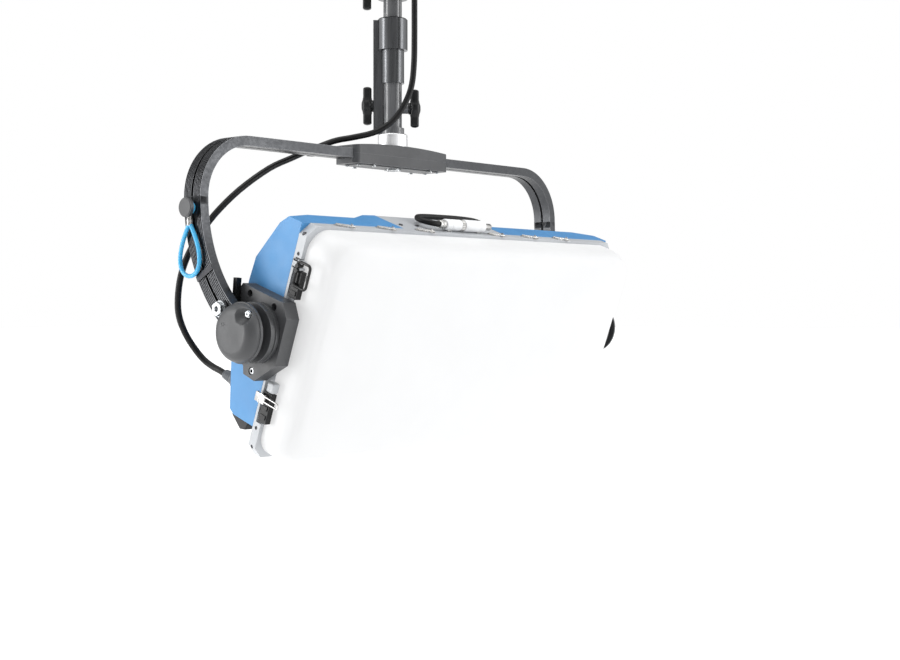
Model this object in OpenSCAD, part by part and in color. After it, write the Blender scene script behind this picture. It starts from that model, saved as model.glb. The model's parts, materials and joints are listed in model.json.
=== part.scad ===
// Soft panel light on a curved double-rail yoke, hung from a short telescopic drop tube.
// Millimetres, +Z up. The origin is the shoulder of the top stud, on the pole axis.
// The head tilts about X in the yoke, the yoke pans about Z under the drop tube,
// and the drop tube slides in the hanger.

/* [Head] */
// Width of the front frame
frame_w = 670; // [640:1:676]
// Height of the front frame
frame_h = 324; // [318:1:332]
// Depth of the front frame
frame_d = 14; // [12:1:16]
// Width of the light opening
opening_w = 645; // [600:1:645]
// Height of the light opening
opening_h = 300; // [290:1:302]
// How far the diffuser stands out of the frame
bulge = 62; // [40:1:64]
// Wall of the housing shells
wall = 3; // [2:0.5:3]
// Tilt of the head at rest, nose down
head_tilt = 20; // [0:1:30]

/* [Yoke] */
// Width over the yoke arms
yoke_w = 770; // [760:1:790]
// Height of the yoke bar's top above the tilt axis
yoke_h = 266.5; // [266:0.5:280]
// Width of one rail
rail_w = 15; // [12:1:15]
// Thickness of one rail
rail_t = 13.5; // [12:0.5:13.5]
// Gap between the two rails
rail_gap = 4.5; // [4.5:0.5:7]
// Outer radius of the yoke's top corners
corner_r = 86; // [60:1:86]
// Mean radius of the forward sweep of the arms
sweep_r = 209; // [205:1:209]
// Angle of the forward sweep
sweep_angle = 59; // [56:1:59]

/* [Hanger] */
// Height of the stud's shoulder above the tilt axis
hang = 760; // [750:5:800]
// Diameter of the stud and of the drop tube
tube_d = 28; // [28:1:28]
// Diameter of the hanger tube
outer_d = 35; // [34:1:38]
// Turn of the pole pieces about the pole axis
pole_turn = 49; // [30:1:60]

/* [Lead] */
// Diameter of the mains lead
lead_d = 9; // [8:0.5:9]
// Turns in one layer of the stored coil
coil_turns = 3; // [3:1:3]

/* [Hidden] */
$fn = 48;
fit = 0.06;                                   // radial clearance of a running fit
reach = sweep_r * (1 - cos(sweep_angle));     // tilt axis in front of the pole axis
sweep_z = sweep_r * sin(sweep_angle);         // start of the sweep above the tilt axis

// Front frame, in the head's own axes: origin on the tilt axis, -Y forward
frame_front = -20.5;
frame_back = frame_front + frame_d;
frame_mid_z = -9;
side = frame_w / 2;
opening_x = opening_w / 2;
opening_z = opening_h / 2;
top_z = frame_mid_z + frame_h / 2;
frame_chamfer = 14.6;
step_top = 108;                               // the frame's sides are let in below this
step_bottom = -122;
step_in = 6;
lip = 2.5;                                    // thickness of the frame's rear lip
inner_z = [-127, 146];                        // clear height behind the lip

// Housing
shell_x = side - 0.05;
centre_x0 = -145;                             // the silver middle part
centre_x1 = 75;
end_profile = [[frame_back, top_z], [frame_back, -131], [35.5, -131], [45, -126], [63.3, -66.6],
    [66.2, 49.3], [63.5, 83.2], [34, 139.8], [20, top_z]];
main_profile = [[frame_back, top_z], [frame_back, -131], [35.5, -131], [45, -126], [63.3, -66.6],
    [66.2, 49.3], [65, 94], [61, 106], [33, top_z]];
centre_profile = [[frame_back, top_z - 0.5], [frame_back, -130], [38, -130], [52, -118], [70, -70],
    [70, 118], [54, top_z - 0.5]];
taper = 44;                                   // length of the bevelled ends of the housing
shoulder = [[-205, 33], [-172, 51], [centre_x0, 54], [centre_x0, 10], [-205, 10]];

// Tilt brackets and hubs
bracket_in = side;
bracket_out = 357;
bracket_shape = [[52, 50], [60, 30], [60, -5], [30, -44], [15, -52], [11, -62], [-12, -63],
    [-30, -44], [-44, -30], [-44, 34], [-30, 52]];
bracket_holes = [[34, 42], [-16, 41]];
shaft_r = 6;
hub_r = 40;
cap_depth = 20;

// Rails
arm_out = yoke_w / 2;
arm_in = arm_out - rail_t;
rail_y = (rail_w + rail_gap) / 2;
rails_w = 2 * rail_w + rail_gap;
bend_x = arm_out - corner_r;
bend_z = yoke_h - corner_r;
clamp_l = 204;
clamp_w = 48;
clamp_bottom = 245;
clamp_top = 272;
clamp_crown = 5;
clamp_split = yoke_h - rail_t / 2;
stem_r = 8;

// Pole pieces, heights above the tilt axis
spigot_z = 271.7;
tube_z = 296.7;
flare_z = 306;
sleeve_z = [373.8, 424.2, 472.4];
stop_z = [502, 541.5];
stop_lock_z = 515;
cradle_z = 545;
collar_z = [585, 625];
stud_l = 80;
drop_top = 720;
post_r = 10;
screw_r = 4;
bar_x = 29.3;
bar_w = 10;
locks_z = 337;
grip_span = 58;

// Controls on the rear
panel_x = -35;
panel_z = -28;
panel_w = 150;
panel_h = 64;
panel_y = 70;
fan_x = [-87, 17];
fan_z = 62;
fan_r = 36;

// Mains lead: round numbers from the pole axis, heights above the tilt axis
coil_r = 50;                                  // mean radius of the coil
lead_up = [[-150, 25, 262], [-125, 26, 271], [-103, 17, 280], [-84, 0, 285], [-62, -18, 292],
    [-45, -30, 303], [-31, -38, 318], [-18, -44, 340], [-9, -48, 366], [-6, -50, 400],
    [-5, -50, 440], [-5, -50, 475]];
lead_down = [[-320, 2, -61], [-320, 12, -58], [-320, 22, -54], [-321, 36, -49], [-325, 50, -40],
    [-332, 61, -25], [-342, 69, -4], [-350, 73, 20], [-352, 73, 45], [-350, 69, 76],
    [-343, 62, 105], [-330, 56, 130], [-306, 50, 162], [-268, 42, 198], [-220, 34, 231],
    [-184, 27, 248], [-151, 25, 262]];
lead_in_r = 40;                               // bend from the pole into the coil
entry_r = 50.25;
entry_angle = -95.7;
entry = [for (a = [0:15:90]) let (turn = entry_angle + 180 / PI * lead_in_r * (1 - cos(a)) / entry_r)
    [entry_r * cos(turn), entry_r * sin(turn), cradle_z + lead_d / 2 - lead_in_r * (1 - sin(a))]];
jumper = [[-68, -4, 162], [-76, -4, 162], [-86, 0, 162], [-91.5, 9, 161.5], [-91.5, 19, 161],
    [-86, 28, 161], [-76, 33, 161], [-55, 36, 161], [-25, 37, 161], [5, 37, 161], [32, 36, 160.5],
    [48, 34.5, 159.5], [58, 32, 157.5], [64, 30.4, 153.5], [65.5, 30, 146]];
plug_at = [-22, -4, 162];                     // middle of the jumper lead's connector
jumper_hole = [65.5, 30];

// Safety loop
knob_y = -0.5;
knob_z = 165;
loop_r = 20;
loop_drop = 70;
rope_d = 4.8;
eye_low = 24;                                 // bottom of the ferrule below the knob

// ---------- placing ----------
module at_hub() { translate([0, -reach, -hang]) children(); }
module at_head() { at_hub() rotate([head_tilt, 0, 0]) children(); }
module at_bar() { translate([0, 0, -hang]) children(); }
module at_pole() { at_bar() rotate([0, 0, -pole_turn]) children(); }
module both_sides() { children(); mirror([1, 0, 0]) children(); }

// ---------- shapes ----------
// Extrudes a YZ outline along X, an XZ outline along Y
module along_x(x0, x1) { translate([x0, 0, 0]) rotate([90, 0, 90]) linear_extrude(x1 - x0) children(); }
module along_y(y0, y1) { translate([0, y1, 0]) rotate([90, 0, 0]) linear_extrude(y1 - y0) children(); }
module rod_x(r, x0, x1) { translate([x0, 0, 0]) rotate([0, 90, 0]) cylinder(r = r, h = x1 - x0); }
module rod_y(r, y0, y1) { translate([0, y0, 0]) rotate([-90, 0, 0]) cylinder(r = r, h = y1 - y0); }
module ring(r_out, r_in, z0, z1) {
    translate([0, 0, z0]) difference() {
        cylinder(r = r_out, h = z1 - z0);
        translate([0, 0, -1]) cylinder(r = r_in, h = z1 - z0 + 2);
    }
}
module round_rect(w, h, r) {
    square([w, h - 2 * r], center = true);
    square([w - 2 * r, h], center = true);
    for (x = [-1, 1], z = [-1, 1]) translate([x * (w / 2 - r), z * (h / 2 - r)]) circle(r);
}
module cut_rect(w, h, c) {
    polygon([[-w / 2 + c, -h / 2], [w / 2 - c, -h / 2], [w / 2, -h / 2 + c], [w / 2, h / 2 - c],
        [w / 2 - c, h / 2], [-w / 2 + c, h / 2], [-w / 2, h / 2 - c], [-w / 2, -h / 2 + c]]);
}
// Outline p moved in by d; p runs so that its inside is on the left
function unit(v) = v / norm(v);
function left(v) = [-v.y, v.x];
function inset(p, d) = [for (i = [0:len(p) - 1])
    let (a = p[(i + len(p) - 1) % len(p)], b = p[i], c = p[(i + 1) % len(p)],
        m = left(unit(b - a)), n = left(unit(c - b)))
    b + d * (m + n) / (1 + m * n)];

// Tube along points: n-sided rings square to the path, turned as little as they can be
function along(p, i) = unit(p[min(i + 1, len(p) - 1)] - p[max(i - 1, 0)]);
function square_to(n, t) = unit(n - (n * t) * t);
function normals(p) = [for (i = 0, n = square_to([0.3, 1, 0.2], along(p, 0)); i < len(p);
    i = i + 1, n = square_to(n, along(p, i))) n];
module sweep_tube(p, r, sides) {
    n = normals(p);
    points = [for (i = [0:len(p) - 1]) let (t = along(p, i), b = cross(t, n[i])) for (k = [0:sides - 1])
        let (a = 360 * k / sides) p[i] + r * (cos(a) * n[i] + sin(a) * b)];
    walls = [for (i = [0:len(p) - 2], k = [0:sides - 1])
        let (a = i * sides + k, b = i * sides + (k + 1) % sides)
        each [[a, a + sides, b], [b, a + sides, b + sides]]];
    last = (len(p) - 1) * sides;
    polyhedron(points, concat(walls, [[for (k = [0:sides - 1]) k]],
        [[for (k = [sides - 1:-1:0]) last + k]]), convexity = 6);
}
// Smooth curve through points, with steps places between each pair
function curve_at(a, b, c, d, t) = 0.5 * (2 * b + (c - a) * t + (2 * a - 5 * b + 4 * c - d) * t * t
    + (3 * b - a - 3 * c + d) * t * t * t);
function smooth_path(p, steps) = concat([for (i = [0:len(p) - 2], s = [0:steps - 1])
    curve_at(p[max(i - 1, 0)], p[i], p[i + 1], p[min(i + 2, len(p) - 1)], s / steps)], [p[len(p) - 1]]);

// ---------- hanger ----------
module hanger_tube() color("#3a3b3e") at_pole() difference() {
    ring(outer_d / 2, tube_d / 2 + fit, collar_z[0], hang - 6);
    translate([0, 0, mid(collar_z)]) rod_x(screw_r + fit, -outer_d, 0);
}
function mid(z) = (z[0] + z[1]) / 2;

module hanger_stud() color("#9a9ca0") at_pole() rotate_extrude() polygon([[0, hang - 30],
    [tube_d / 2, hang - 30], [tube_d / 2, hang - 6], [outer_d / 2, hang - 6], [outer_d / 2, hang],
    [tube_d / 2, hang], [tube_d / 2, hang + stud_l - 2], [tube_d / 2 - 2, hang + stud_l],
    [0, hang + stud_l]]);

// A clamp collar with a boss for its screw on the -X side
module clamp_collar(z, r, bore, screw_z) difference() {
    union() {
        ring(r, bore, z[0], z[1]);
        translate([0, 0, screw_z]) rod_x(9, -r - 6, -bore - 1);
    }
    translate([0, 0, screw_z]) rod_x(screw_r + fit, -r - 10, 0);
    translate([0, 0, z[0] - 1]) cylinder(r = bore, h = z[1] - z[0] + 2);
}
module hanger_collar() color("#303134") at_pole()
    clamp_collar(collar_z, 23, outer_d / 2, mid(collar_z));

// T-handle on a screw along -X, from the screw's tip to the grip
module t_handle(tip, hub, span) {
    rod_x(screw_r, -hub - 2, -tip);
    rod_x(9, -hub - 16, -hub);
    translate([-hub - 8, 0, 0]) {
        cube([13, 13, span - 13], center = true);
        for (s = [-1, 1]) translate([0, 0, s * (span / 2 - 6.5)]) rod_x(6.5, -6.5, 6.5);
    }
}
module lock(z, tip, hub) color("#252628") at_pole() translate([0, 0, z]) t_handle(tip, hub, grip_span);
module hanger_lock() lock(mid(collar_z), tube_d / 2 + 0.3, 31);
module stop_lock() lock(stop_lock_z, tube_d / 2 + 0.3, 31);
module pan_lock_left() lock(locks_z + 3, post_r + 0.3, 30.6);
module pan_lock_right() color("#252628") at_pole() translate([0, 0, locks_z - 1])
    mirror([1, 0, 0]) t_handle(post_r + 0.3, 25.5, grip_span);

// ---------- drop tube ----------
module drop_tube() color("#3d3e41") at_pole() difference() {
    union() {
        translate([0, 0, flare_z]) cylinder(r = tube_d / 2, h = drop_top - flare_z);
        translate([0, 0, tube_z]) cylinder(r = outer_d / 2, h = flare_z - tube_z);
        translate([0, 0, locks_z - 1]) rod_x(8, 0, 24);
    }
    translate([0, 0, tube_z - 1]) cylinder(r = post_r + fit, h = drop_top - tube_z + 2);
    translate([0, 0, locks_z - 1]) rod_x(screw_r + fit, 0, 40);
    translate([0, 0, locks_z + 3]) rod_x(screw_r + fit, -40, 0);
}
module bar_slot(extra) translate([-bar_x - 20, -bar_w / 2 - extra, 0])
    cube([bar_x + 20 - tube_d / 2 - 0.2 + extra, bar_w + 2 * extra, hang]);
module lower_sleeve() color("#4a4b4e") at_pole() difference() {
    ring(outer_d / 2, tube_d / 2, sleeve_z[0], sleeve_z[1]);
    bar_slot(0.05);
}
module upper_sleeve() color("#4a4b4e") at_pole() difference() {
    rotate_extrude() polygon([[tube_d / 2, sleeve_z[1]], [22.7, sleeve_z[1]], [22.7, sleeve_z[2] - 2],
        [20.7, sleeve_z[2]], [tube_d / 2, sleeve_z[2]]]);
    bar_slot(0.05);
}
module guide_bar() color("#2c2d30") at_pole() difference() {
    translate([-bar_x, -bar_w / 2, tube_z + 0.3]) cube([bar_x - tube_d / 2 - 0.2, bar_w, 173]);
    translate([0, 0, locks_z + 3]) rod_x(screw_r + 0.4, -40, 0);
    translate([0, 0, tube_z - 1]) cylinder(r = outer_d / 2 + 0.05, h = flare_z - tube_z + 1);
}
module stop_collar() color("#303134") at_pole() clamp_collar(stop_z, 23, tube_d / 2, stop_lock_z);

// Three hooked arms that carry the coil
module cable_cradle() color("#27282a") at_pole() {
    ring(19, tube_d / 2, stop_z[1], cradle_z);
    for (a = [10, 130, 250]) rotate([0, 0, a]) {
        translate([17, -6, cradle_z - 3]) cube([coil_r + lead_d + 4 - 17, 12, 3]);
        translate([coil_r + lead_d + 1, -6, cradle_z - 0.01]) cube([3, 12, 7]);
    }
}

// ---------- mains lead ----------
module lead_pole() color("#151516") at_bar()
    sweep_tube(concat(smooth_path(lead_up, 2), entry), lead_d / 2, 8);
module lead_head() color("#151516") at_bar()
    sweep_tube(smooth_path(lead_down, 2), lead_d / 2, 8);
module lead_coil() color("#151516") at_bar()
    ring(coil_r + lead_d, coil_r - lead_d, cradle_z, cradle_z + coil_turns * lead_d);
module coil_tie() color("#202022") at_bar() rotate([0, 0, 100]) difference() {
    translate([coil_r - lead_d - 1.6, -8, cradle_z - 1.6])
        cube([2 * lead_d + 3.2, 16, coil_turns * lead_d + 3.2]);
    ring(coil_r + lead_d + 0.02, coil_r - lead_d - 0.02, cradle_z - 0.02,
        cradle_z + coil_turns * lead_d + 0.02);
}
module lead_plug() color("#1c1c1e") at_bar()
    translate([coil_r + 2, 8, cradle_z + coil_turns * lead_d + 14.1]) rotate([0, 0, 6]) {
        rod_y(14, -30, 24);
        rod_y(10.5, 24, 34);
        rod_y(7, -46, -30);
    }

// ---------- yoke ----------
module yoke_spigot() color("#d9dadc") at_bar() rotate_extrude() polygon([[0, clamp_bottom - 3],
    [stem_r, clamp_bottom - 3], [stem_r, yoke_h + 0.2], [20, yoke_h + 0.2], [20, spigot_z],
    [22.5, spigot_z], [22.5, tube_z - 1.7], [21, tube_z - 0.2], [post_r, tube_z - 0.2],
    [post_r, 363], [post_r - 2, 365], [0, 365]]);

function crown(x) = clamp_top + clamp_crown * (1 - pow(2 * x / clamp_l, 2));
clamp_ends = 10;                              // rounding of the casting's corners in plan
module clamp_plan() round_rect(clamp_l, clamp_w, clamp_ends);
module clamp_cuts() {
    translate([-clamp_l, -rails_w / 2, yoke_h - rail_t]) cube([2 * clamp_l, rails_w, rail_t]);
    translate([0, 0, yoke_h - 1]) cylinder(r = 20, h = spigot_z - yoke_h + 1);
    translate([0, 0, spigot_z - 0.05]) cylinder(r = 22.55, h = 20);
    translate([0, 0, clamp_bottom - 5]) cylinder(r = stem_r, h = 40);
    for (x = [-1, 1], y = [-1, 1]) translate([x * 62, y * 20.6, clamp_bottom - 1])
        cylinder(r = 1.8, h = 26);
}
module clamp_upper() color("#3b3c3f") at_bar() difference() {
    intersection() {
        translate([0, 0, clamp_split + 0.01]) linear_extrude(40) clamp_plan();
        along_y(-clamp_w, clamp_w) polygon(concat([for (x = [-clamp_l / 2:clamp_l / 16:clamp_l / 2])
            [x, crown(x)]], [[clamp_l / 2, 200], [-clamp_l / 2, 200]]));
    }
    clamp_cuts();
}
module clamp_lower() color("#3b3c3f") at_bar() difference() {
    union() {
        translate([0, 0, clamp_bottom]) linear_extrude(clamp_split - clamp_bottom) clamp_plan();
        translate([0, 0, clamp_bottom - 1.5]) linear_extrude(3)
            round_rect(clamp_l - 24, clamp_w - 12, clamp_ends);
    }
    clamp_cuts();
}
module clamp_screws() color("#b9babd") at_bar() {
    for (x = [-1, 1], y = [-1, 1]) translate([x * 62, y * 20.6, 0]) {
        translate([0, 0, clamp_bottom]) cylinder(r = 1.8, h = 24);
        ring(3.1, 1.8, clamp_bottom - 3.5, clamp_bottom - 1.5);
        translate([0, 0, clamp_bottom - 3.5]) cylinder(r = 1.8, h = 3.6);
    }
    difference() {
        ring(12.5, stem_r, clamp_bottom - 4, clamp_bottom - 1.5);
        for (a = [0:90:270]) rotate([0, 0, a]) translate([10, 0, clamp_bottom - 5]) cylinder(r = 1.2, h = 5);
    }
}

// Rail section: across the rail, and out from the inner face, with ribs on the outer face
rib_w = 2;
rib_d = 0.9;
function rib_edge(w) = [for (k = [2:-1:-2]) let (c = k * 2.8)
    each [[c + rib_w / 2, rail_t], [c + rib_w / 2, rail_t - rib_d], [c - rib_w / 2, rail_t - rib_d],
        [c - rib_w / 2, rail_t]]];
module rail_section() polygon(concat([[-rail_w / 2, 0], [rail_w / 2, 0], [rail_w / 2, rail_t]],
    rib_edge(rail_w), [[-rail_w / 2, rail_t]]));
module rail(y) color("#2e2f32") difference() {
    union() {
        at_bar() along_x(-bend_x, bend_x) translate([y, yoke_h - rail_t]) rail_section();
        at_bar() both_sides() {
            translate([bend_x, 0, bend_z]) rotate([90, 0, 0]) rotate_extrude(angle = 90)
                translate([corner_r - rail_t, -y]) rotate([0, 0, -90]) rail_section();
            translate([arm_in, y, sweep_z]) linear_extrude(bend_z - sweep_z)
                rotate([0, 0, -90]) rail_section();
            translate([arm_in, -sweep_r, sweep_z]) rotate([0, 90, 0]) rotate([0, 0, 90 - sweep_angle - 4])
                rotate_extrude(angle = sweep_angle + 4) translate([sweep_r + y, 0]) rail_section();
        }
    }
    at_hub() both_sides() rod_x(12.2, arm_in - 5, arm_out + 5);
    at_bar() translate([0, 0, yoke_h - rail_t - 5]) cylinder(r = stem_r + 0.05, h = 30);
}
module front_rail() rail(-rail_y);
module rear_rail() rail(rail_y);

module hub_discs() color("#28292b") at_hub() both_sides() difference() {
    union() {
        rod_x(hub_r, bracket_out + 0.4, arm_in);
        rod_x(12.15, arm_in - 1, arm_out);
    }
    rod_x(shaft_r + fit, 300, 400);
    rotate([0, 90, 0]) rotate_extrude() translate([hub_r, bracket_out + 7]) square([3, 2], center = true);
}
// The left hub has a domed cap with a scoop for its screw, the right one a thin cover
module left_side() { mirror([1, 0, 0]) children(); }
cover = 3.5;
module hub_caps() color("#2b2c2e") at_hub() difference() {
    union() {
        left_side() translate([arm_out, 0, 0]) rotate([0, 90, 0]) rotate_extrude()
            polygon(concat([[0, 0], [hub_r, 0], [hub_r, 3.5]],
                [for (a = [0:10:80]) [26 + 12.5 * cos(a), 5 + (cap_depth - 5) * sin(a)]],
                [[26, cap_depth], [0, cap_depth]]));
        rod_x(hub_r, arm_out, arm_out + cover);
    }
    left_side() rod_x(shaft_r + fit, 300, arm_out + 15);
    rod_x(shaft_r + fit, 300, arm_out + 1.5);
    left_side() translate([arm_out + 24, -25, 26]) sphere(r = 15);
    left_side() translate([0, 15, 11]) rod_x(2.2, arm_out + 12, arm_out + 40);
}

// Hexagon screws with a round flange, seen on the arms and in the caps
module hex_screw(r, h, shank) {
    rod_x(r * 1.15, 0, h * 0.3);
    difference() {
        rotate([0, 90, 0]) cylinder(r = r, h = h, $fn = 6);
        rotate([0, 90, 0]) translate([0, 0, h * 0.4]) cylinder(r = r * 0.42, h = h, $fn = 6);
    }
    rod_x(shank, -4, 0.1);
}
bolt_z = 30.6;                                // the bolts stand on the mean line of the rails
bolt_y = sqrt(pow(sweep_r, 2) - pow(sweep_z - bolt_z, 2)) - sweep_r;
module arm_bolts() color("#d4d5d7") {
    at_bar() both_sides() translate([arm_out + 2.5, bolt_y, bolt_z]) {
        hex_screw(9.6, 8, 2.1);
        rod_x(2.1, -rail_t - 3.5, -3.9);
        rod_x(7, -rail_t - 7, -rail_t - 2.5);
    }
    at_hub() left_side() translate([arm_out + 9, -23, 24]) hex_screw(4, 3, 1.5);
}
band_angle = 29;
module arm_bands() color("#1e1f21") at_bar() both_sides() {
    translate([arm_out, -sweep_r, sweep_z]) rotate([-band_angle, 0, 0])
        translate([0, sweep_r, 0]) translate([0, -rails_w / 2, -4]) cube([1.6, rails_w, 8]);
    difference() {
        translate([arm_out, bolt_y, bolt_z]) rod_x(11.9, 0, 2.5);
        translate([arm_out, bolt_y, bolt_z]) rod_x(2.1, -1, 4);
        translate([arm_out, -reach, 0]) rod_x(hub_r + 0.1, -1, 4);
    }
}
module loop_knob() color("#3c3d40") at_bar() translate([0, knob_y, knob_z]) {
    rod_x(2.1, -arm_out - 8, -arm_in + 4);
    difference() {
        rod_x(13, -arm_out - 13.5, -arm_out - 7.5);
        rotate([0, -90, 0]) rotate_extrude() translate([13, arm_out + 13.5]) circle(1.2, $fn = 16);
    }
    rod_x(6, -arm_in + 0.1, -arm_in + 4);
}
module cable_clip() color("#1e1f21") at_bar() translate([-150, 25, 262]) {
    difference() {
        union() {
            rod_x(lead_d / 2 + 2.6, -5, 5);
            translate([-5, -25 + rails_w / 2 + 0.05, -8.9]) cube([10, 25 - rails_w / 2, 4.8]);
        }
        rotate([0, -21, 0]) rod_x(lead_d / 2 + 0.8, -12, 12);
    }
}

// ---------- safety loop ----------
// A stiff wire-rope loop: an eye on the knob's stem, a ferrule and a teardrop
module safety_loop() color("#2f9fe0") at_bar() translate([-arm_out - 4.5, knob_y, knob_z]) {
    rotate([0, 90, 0]) rotate_extrude() translate([6.2, 0]) circle(2.1, $fn = 20);
    translate([0, 0, -14]) cylinder(r = 2.9, h = 14 - 7.4);
    translate([0, 0, -eye_low]) cylinder(r = 4.3, h = eye_low - 13.7);
    rope_loop();
}
leg_x = 2.4;
module rope_loop() {
    // the legs touch the bottom arc where they meet it square
    bottom = -loop_drop - eye_low + loop_r + rope_d / 2;
    rise = -eye_low - bottom;
    lean = asin(loop_r / norm([leg_x, rise])) - atan(leg_x / rise);
    for (s = [-1, 1]) translate([0, 0, bottom]) rotate([s * lean, 0, 0])
        translate([0, s * loop_r, 0]) cylinder(r = rope_d / 2, h = rise * cos(lean) - 1);
    translate([0, 0, bottom]) rotate([0, 90, 0]) rotate([0, 0, -90 - lean])
        rotate_extrude(angle = 180 + 2 * lean) translate([loop_r, 0]) circle(rope_d / 2, $fn = 20);
}

// ---------- head ----------
module at_frame() translate([0, 0, frame_mid_z]) children();
frame_screw_z = [113, 140, -130, -157];
module front_frame() color("#e4e5e7") at_head() difference() {
    at_frame() along_y(frame_front, frame_back) cut_rect(frame_w, frame_h, frame_chamfer);
    at_frame() along_y(frame_front - 1, frame_back - lip) round_rect(opening_w, opening_h, 25);
    translate([-opening_x + 2, frame_back - lip - 1, inner_z[0]])
        cube([opening_w - 4, lip + 2, inner_z[1] - inner_z[0]]);
    for (s = [0, 1]) mirror([s, 0, 0]) {
        translate([-side - 1, frame_front - 1, step_bottom])
            cube([step_in + 1, frame_d - 3, step_top - step_bottom]);
        for (z = frame_screw_z) translate([0, -13.5, z]) rod_x(2.6, -side - 1, -side + 5);
    }
}
module head_screws() color("#55575b") at_head() both_sides() {
    for (z = frame_screw_z) translate([0, -13.5, z]) rod_x(2.55, -side + 1.2, -side + 5);
    translate([0, -2.4, -52.7]) rod_x(5.2, -bracket_out + 1.6, -bracket_out + 8);
    for (h = bracket_holes) translate([0, h[0], h[1]]) rod_x(4.9, -bracket_out + 9, -bracket_out + 16);
}

// The diffuser is a hollow rounded pillow that stands on the frame's face, with a spigot in its
// opening; each layer is [depth, width, height, corner]
diffuser_w = frame_w - 12.8;
diffuser_h = frame_h - 8;
diffuser_wall = 3;
flange = 2.6;
skin = 0.6;                                   // thickness of one layer
layers = [[0, 1, 1, 30], [0.4, 1, 0.998, 31], [0.66, 0.993, 0.984, 36], [0.83, 0.972, 0.942, 44],
    [0.93, 0.91, 0.84, 58], [1, 0.64, 0.48, 56]];
module pillow(inside) hull() for (l = layers) {
    back = frame_front - 0.05 - skin - (inside > 0 ? flange : 0);
    y = min(frame_front - 0.05 - skin - (bulge - skin) * l[0] + inside, back);
    at_frame() along_y(y, y + skin) round_rect(diffuser_w * l[1] - 2 * inside,
        diffuser_h * l[2] - 2 * inside, l[3] - inside, $fn = 32);
}
module diffuser() color("#fafafa") at_head() difference() {
    union() {
        pillow(0);
        at_frame() along_y(frame_front - 1, frame_front + 4)
            round_rect(opening_w - 0.8, opening_h - 0.8, 25);
    }
    pillow(diffuser_wall);
    at_frame() along_y(frame_front - flange - 2 * skin, frame_front + 6)
        round_rect(opening_w - 7, opening_h - 7, 22);
}
chamber_z = [-124, 142];
module light_chamber() color("#f2f2f0") at_head() translate([0, 0, mid(chamber_z)]) difference() {
    along_y(frame_back + 0.2, 26) square([opening_w - 10, chamber_z[1] - chamber_z[0]], center = true);
    along_y(frame_back - 1, 30) square([opening_w - 14, chamber_z[1] - chamber_z[0] - 4], center = true);
}
module led_board() color("#e8e4cf") at_head() translate([0, 0, mid(chamber_z)]) {
    along_y(28, 29.6) square([opening_w - 20, chamber_z[1] - chamber_z[0] - 20], center = true);
    for (x = [-9:9], z = [-3:3]) translate([x * 32, 0, z * 34])
        along_y(26.8, 28) square(9, center = true);
}
sink_z = [-62, 118];
module heat_sink() color("#a9abae") at_head() {
    translate([-300, 30, sink_z[0]]) cube([600, 5, sink_z[1] - sink_z[0]]);
    for (x = [-292:16:292]) translate([x - 1, 35, sink_z[0] + 4]) cube([2, 16, sink_z[1] - sink_z[0] - 34]);
}
module shell_solid(d) {
    hull() {
        along_x(-shell_x + d, -shell_x + d + 0.1) polygon(inset(end_profile, d));
        along_x(-shell_x + taper, -shell_x + taper + 0.1) polygon(inset(main_profile, d));
    }
}
// One side of the blue housing, from its outer end to x; d moves every wall in
module side_solid(x, d) {
    shell_solid(d);
    along_x(-shell_x + taper, x) polygon(inset(main_profile, d));
}
module front_opening(x0, x1) translate([x0, frame_back - 2, -131 + wall])
    cube([x1 - x0, 2 + wall + 1, top_z + 131 - 2 * wall]);
module left_housing() color("#5b9bd8") at_head() difference() {
    union() {
        side_solid(centre_x0, 0);
        intersection() {
            translate([0, 0, 60]) linear_extrude(top_z - 60) polygon(shoulder);
            along_x(-205, centre_x0) polygon([[10, 60], [70, 60], [70, 118], [54, top_z], [10, top_z]]);
        }
    }
    side_solid(centre_x0 + 1, wall);
    front_opening(-opening_x, centre_x0 + 1);
    shaft_holes();
    translate([gland_x, 0, gland_z]) rod_y(9.1, 30, 80);
}
module right_housing() color("#5b9bd8") at_head() difference() {
    mirror([1, 0, 0]) side_solid(-centre_x1, 0);
    mirror([1, 0, 0]) side_solid(-centre_x1 + 1, wall);
    front_opening(centre_x1 - 1, opening_x);
    shaft_holes();
}
module shaft_holes() both_sides() rod_x(shaft_r + 0.1, 300, 340);
module centre_housing() color("#e6e7e9") at_head() difference() {
    along_x(centre_x0 + 0.05, centre_x1 - 0.05) polygon(centre_profile);
    along_x(centre_x0 - 1, centre_x1 + 1) polygon(inset(centre_profile, wall));
    front_opening(centre_x0 - 1, centre_x1 + 1);
    for (x = fan_x) for (k = [-3:3]) let (h = sqrt(pow(fan_r - 4, 2) - pow(k * 9, 2)))
        translate([x + k * 9 - 2.5, 60, fan_z - h]) cube([5, 20, 2 * h]);
    for (b = controls) translate([b[0], 0, b[1]]) rod_y(b[2] + 1, 60, 80);
    translate([jumper_hole.x, jumper_hole.y, 120]) cylinder(r = 6.5, h = 40);
}

module head_brackets() color("#2c2d2f") at_head() both_sides() difference() {
    along_x(-bracket_out, -bracket_in - 0.02) polygon(bracket_shape);
    rod_x(shaft_r + 2, -400, -bracket_in + 5);
    for (h = bracket_holes) translate([0, h[0], h[1]]) rod_x(5, -bracket_out - 1, -bracket_out + 16);
    translate([0, -2.4, -52.7]) rod_x(5.3, -bracket_out - 1, -bracket_out + 8);
    translate([0, lever_y, lever_z]) rod_x(3 + fit, -bracket_out - 1, -bracket_out + 12);
}
module tilt_shafts() color("#c0c1c4") at_head() {
    rod_x(shaft_r, -arm_out - 14, -shell_x + wall + 6);
    rod_x(shaft_r, shell_x - wall - 6, arm_out + 1);
    both_sides() rod_x(shaft_r + 2, -bracket_out + 0.5, -bracket_in - 0.05);
}

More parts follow.
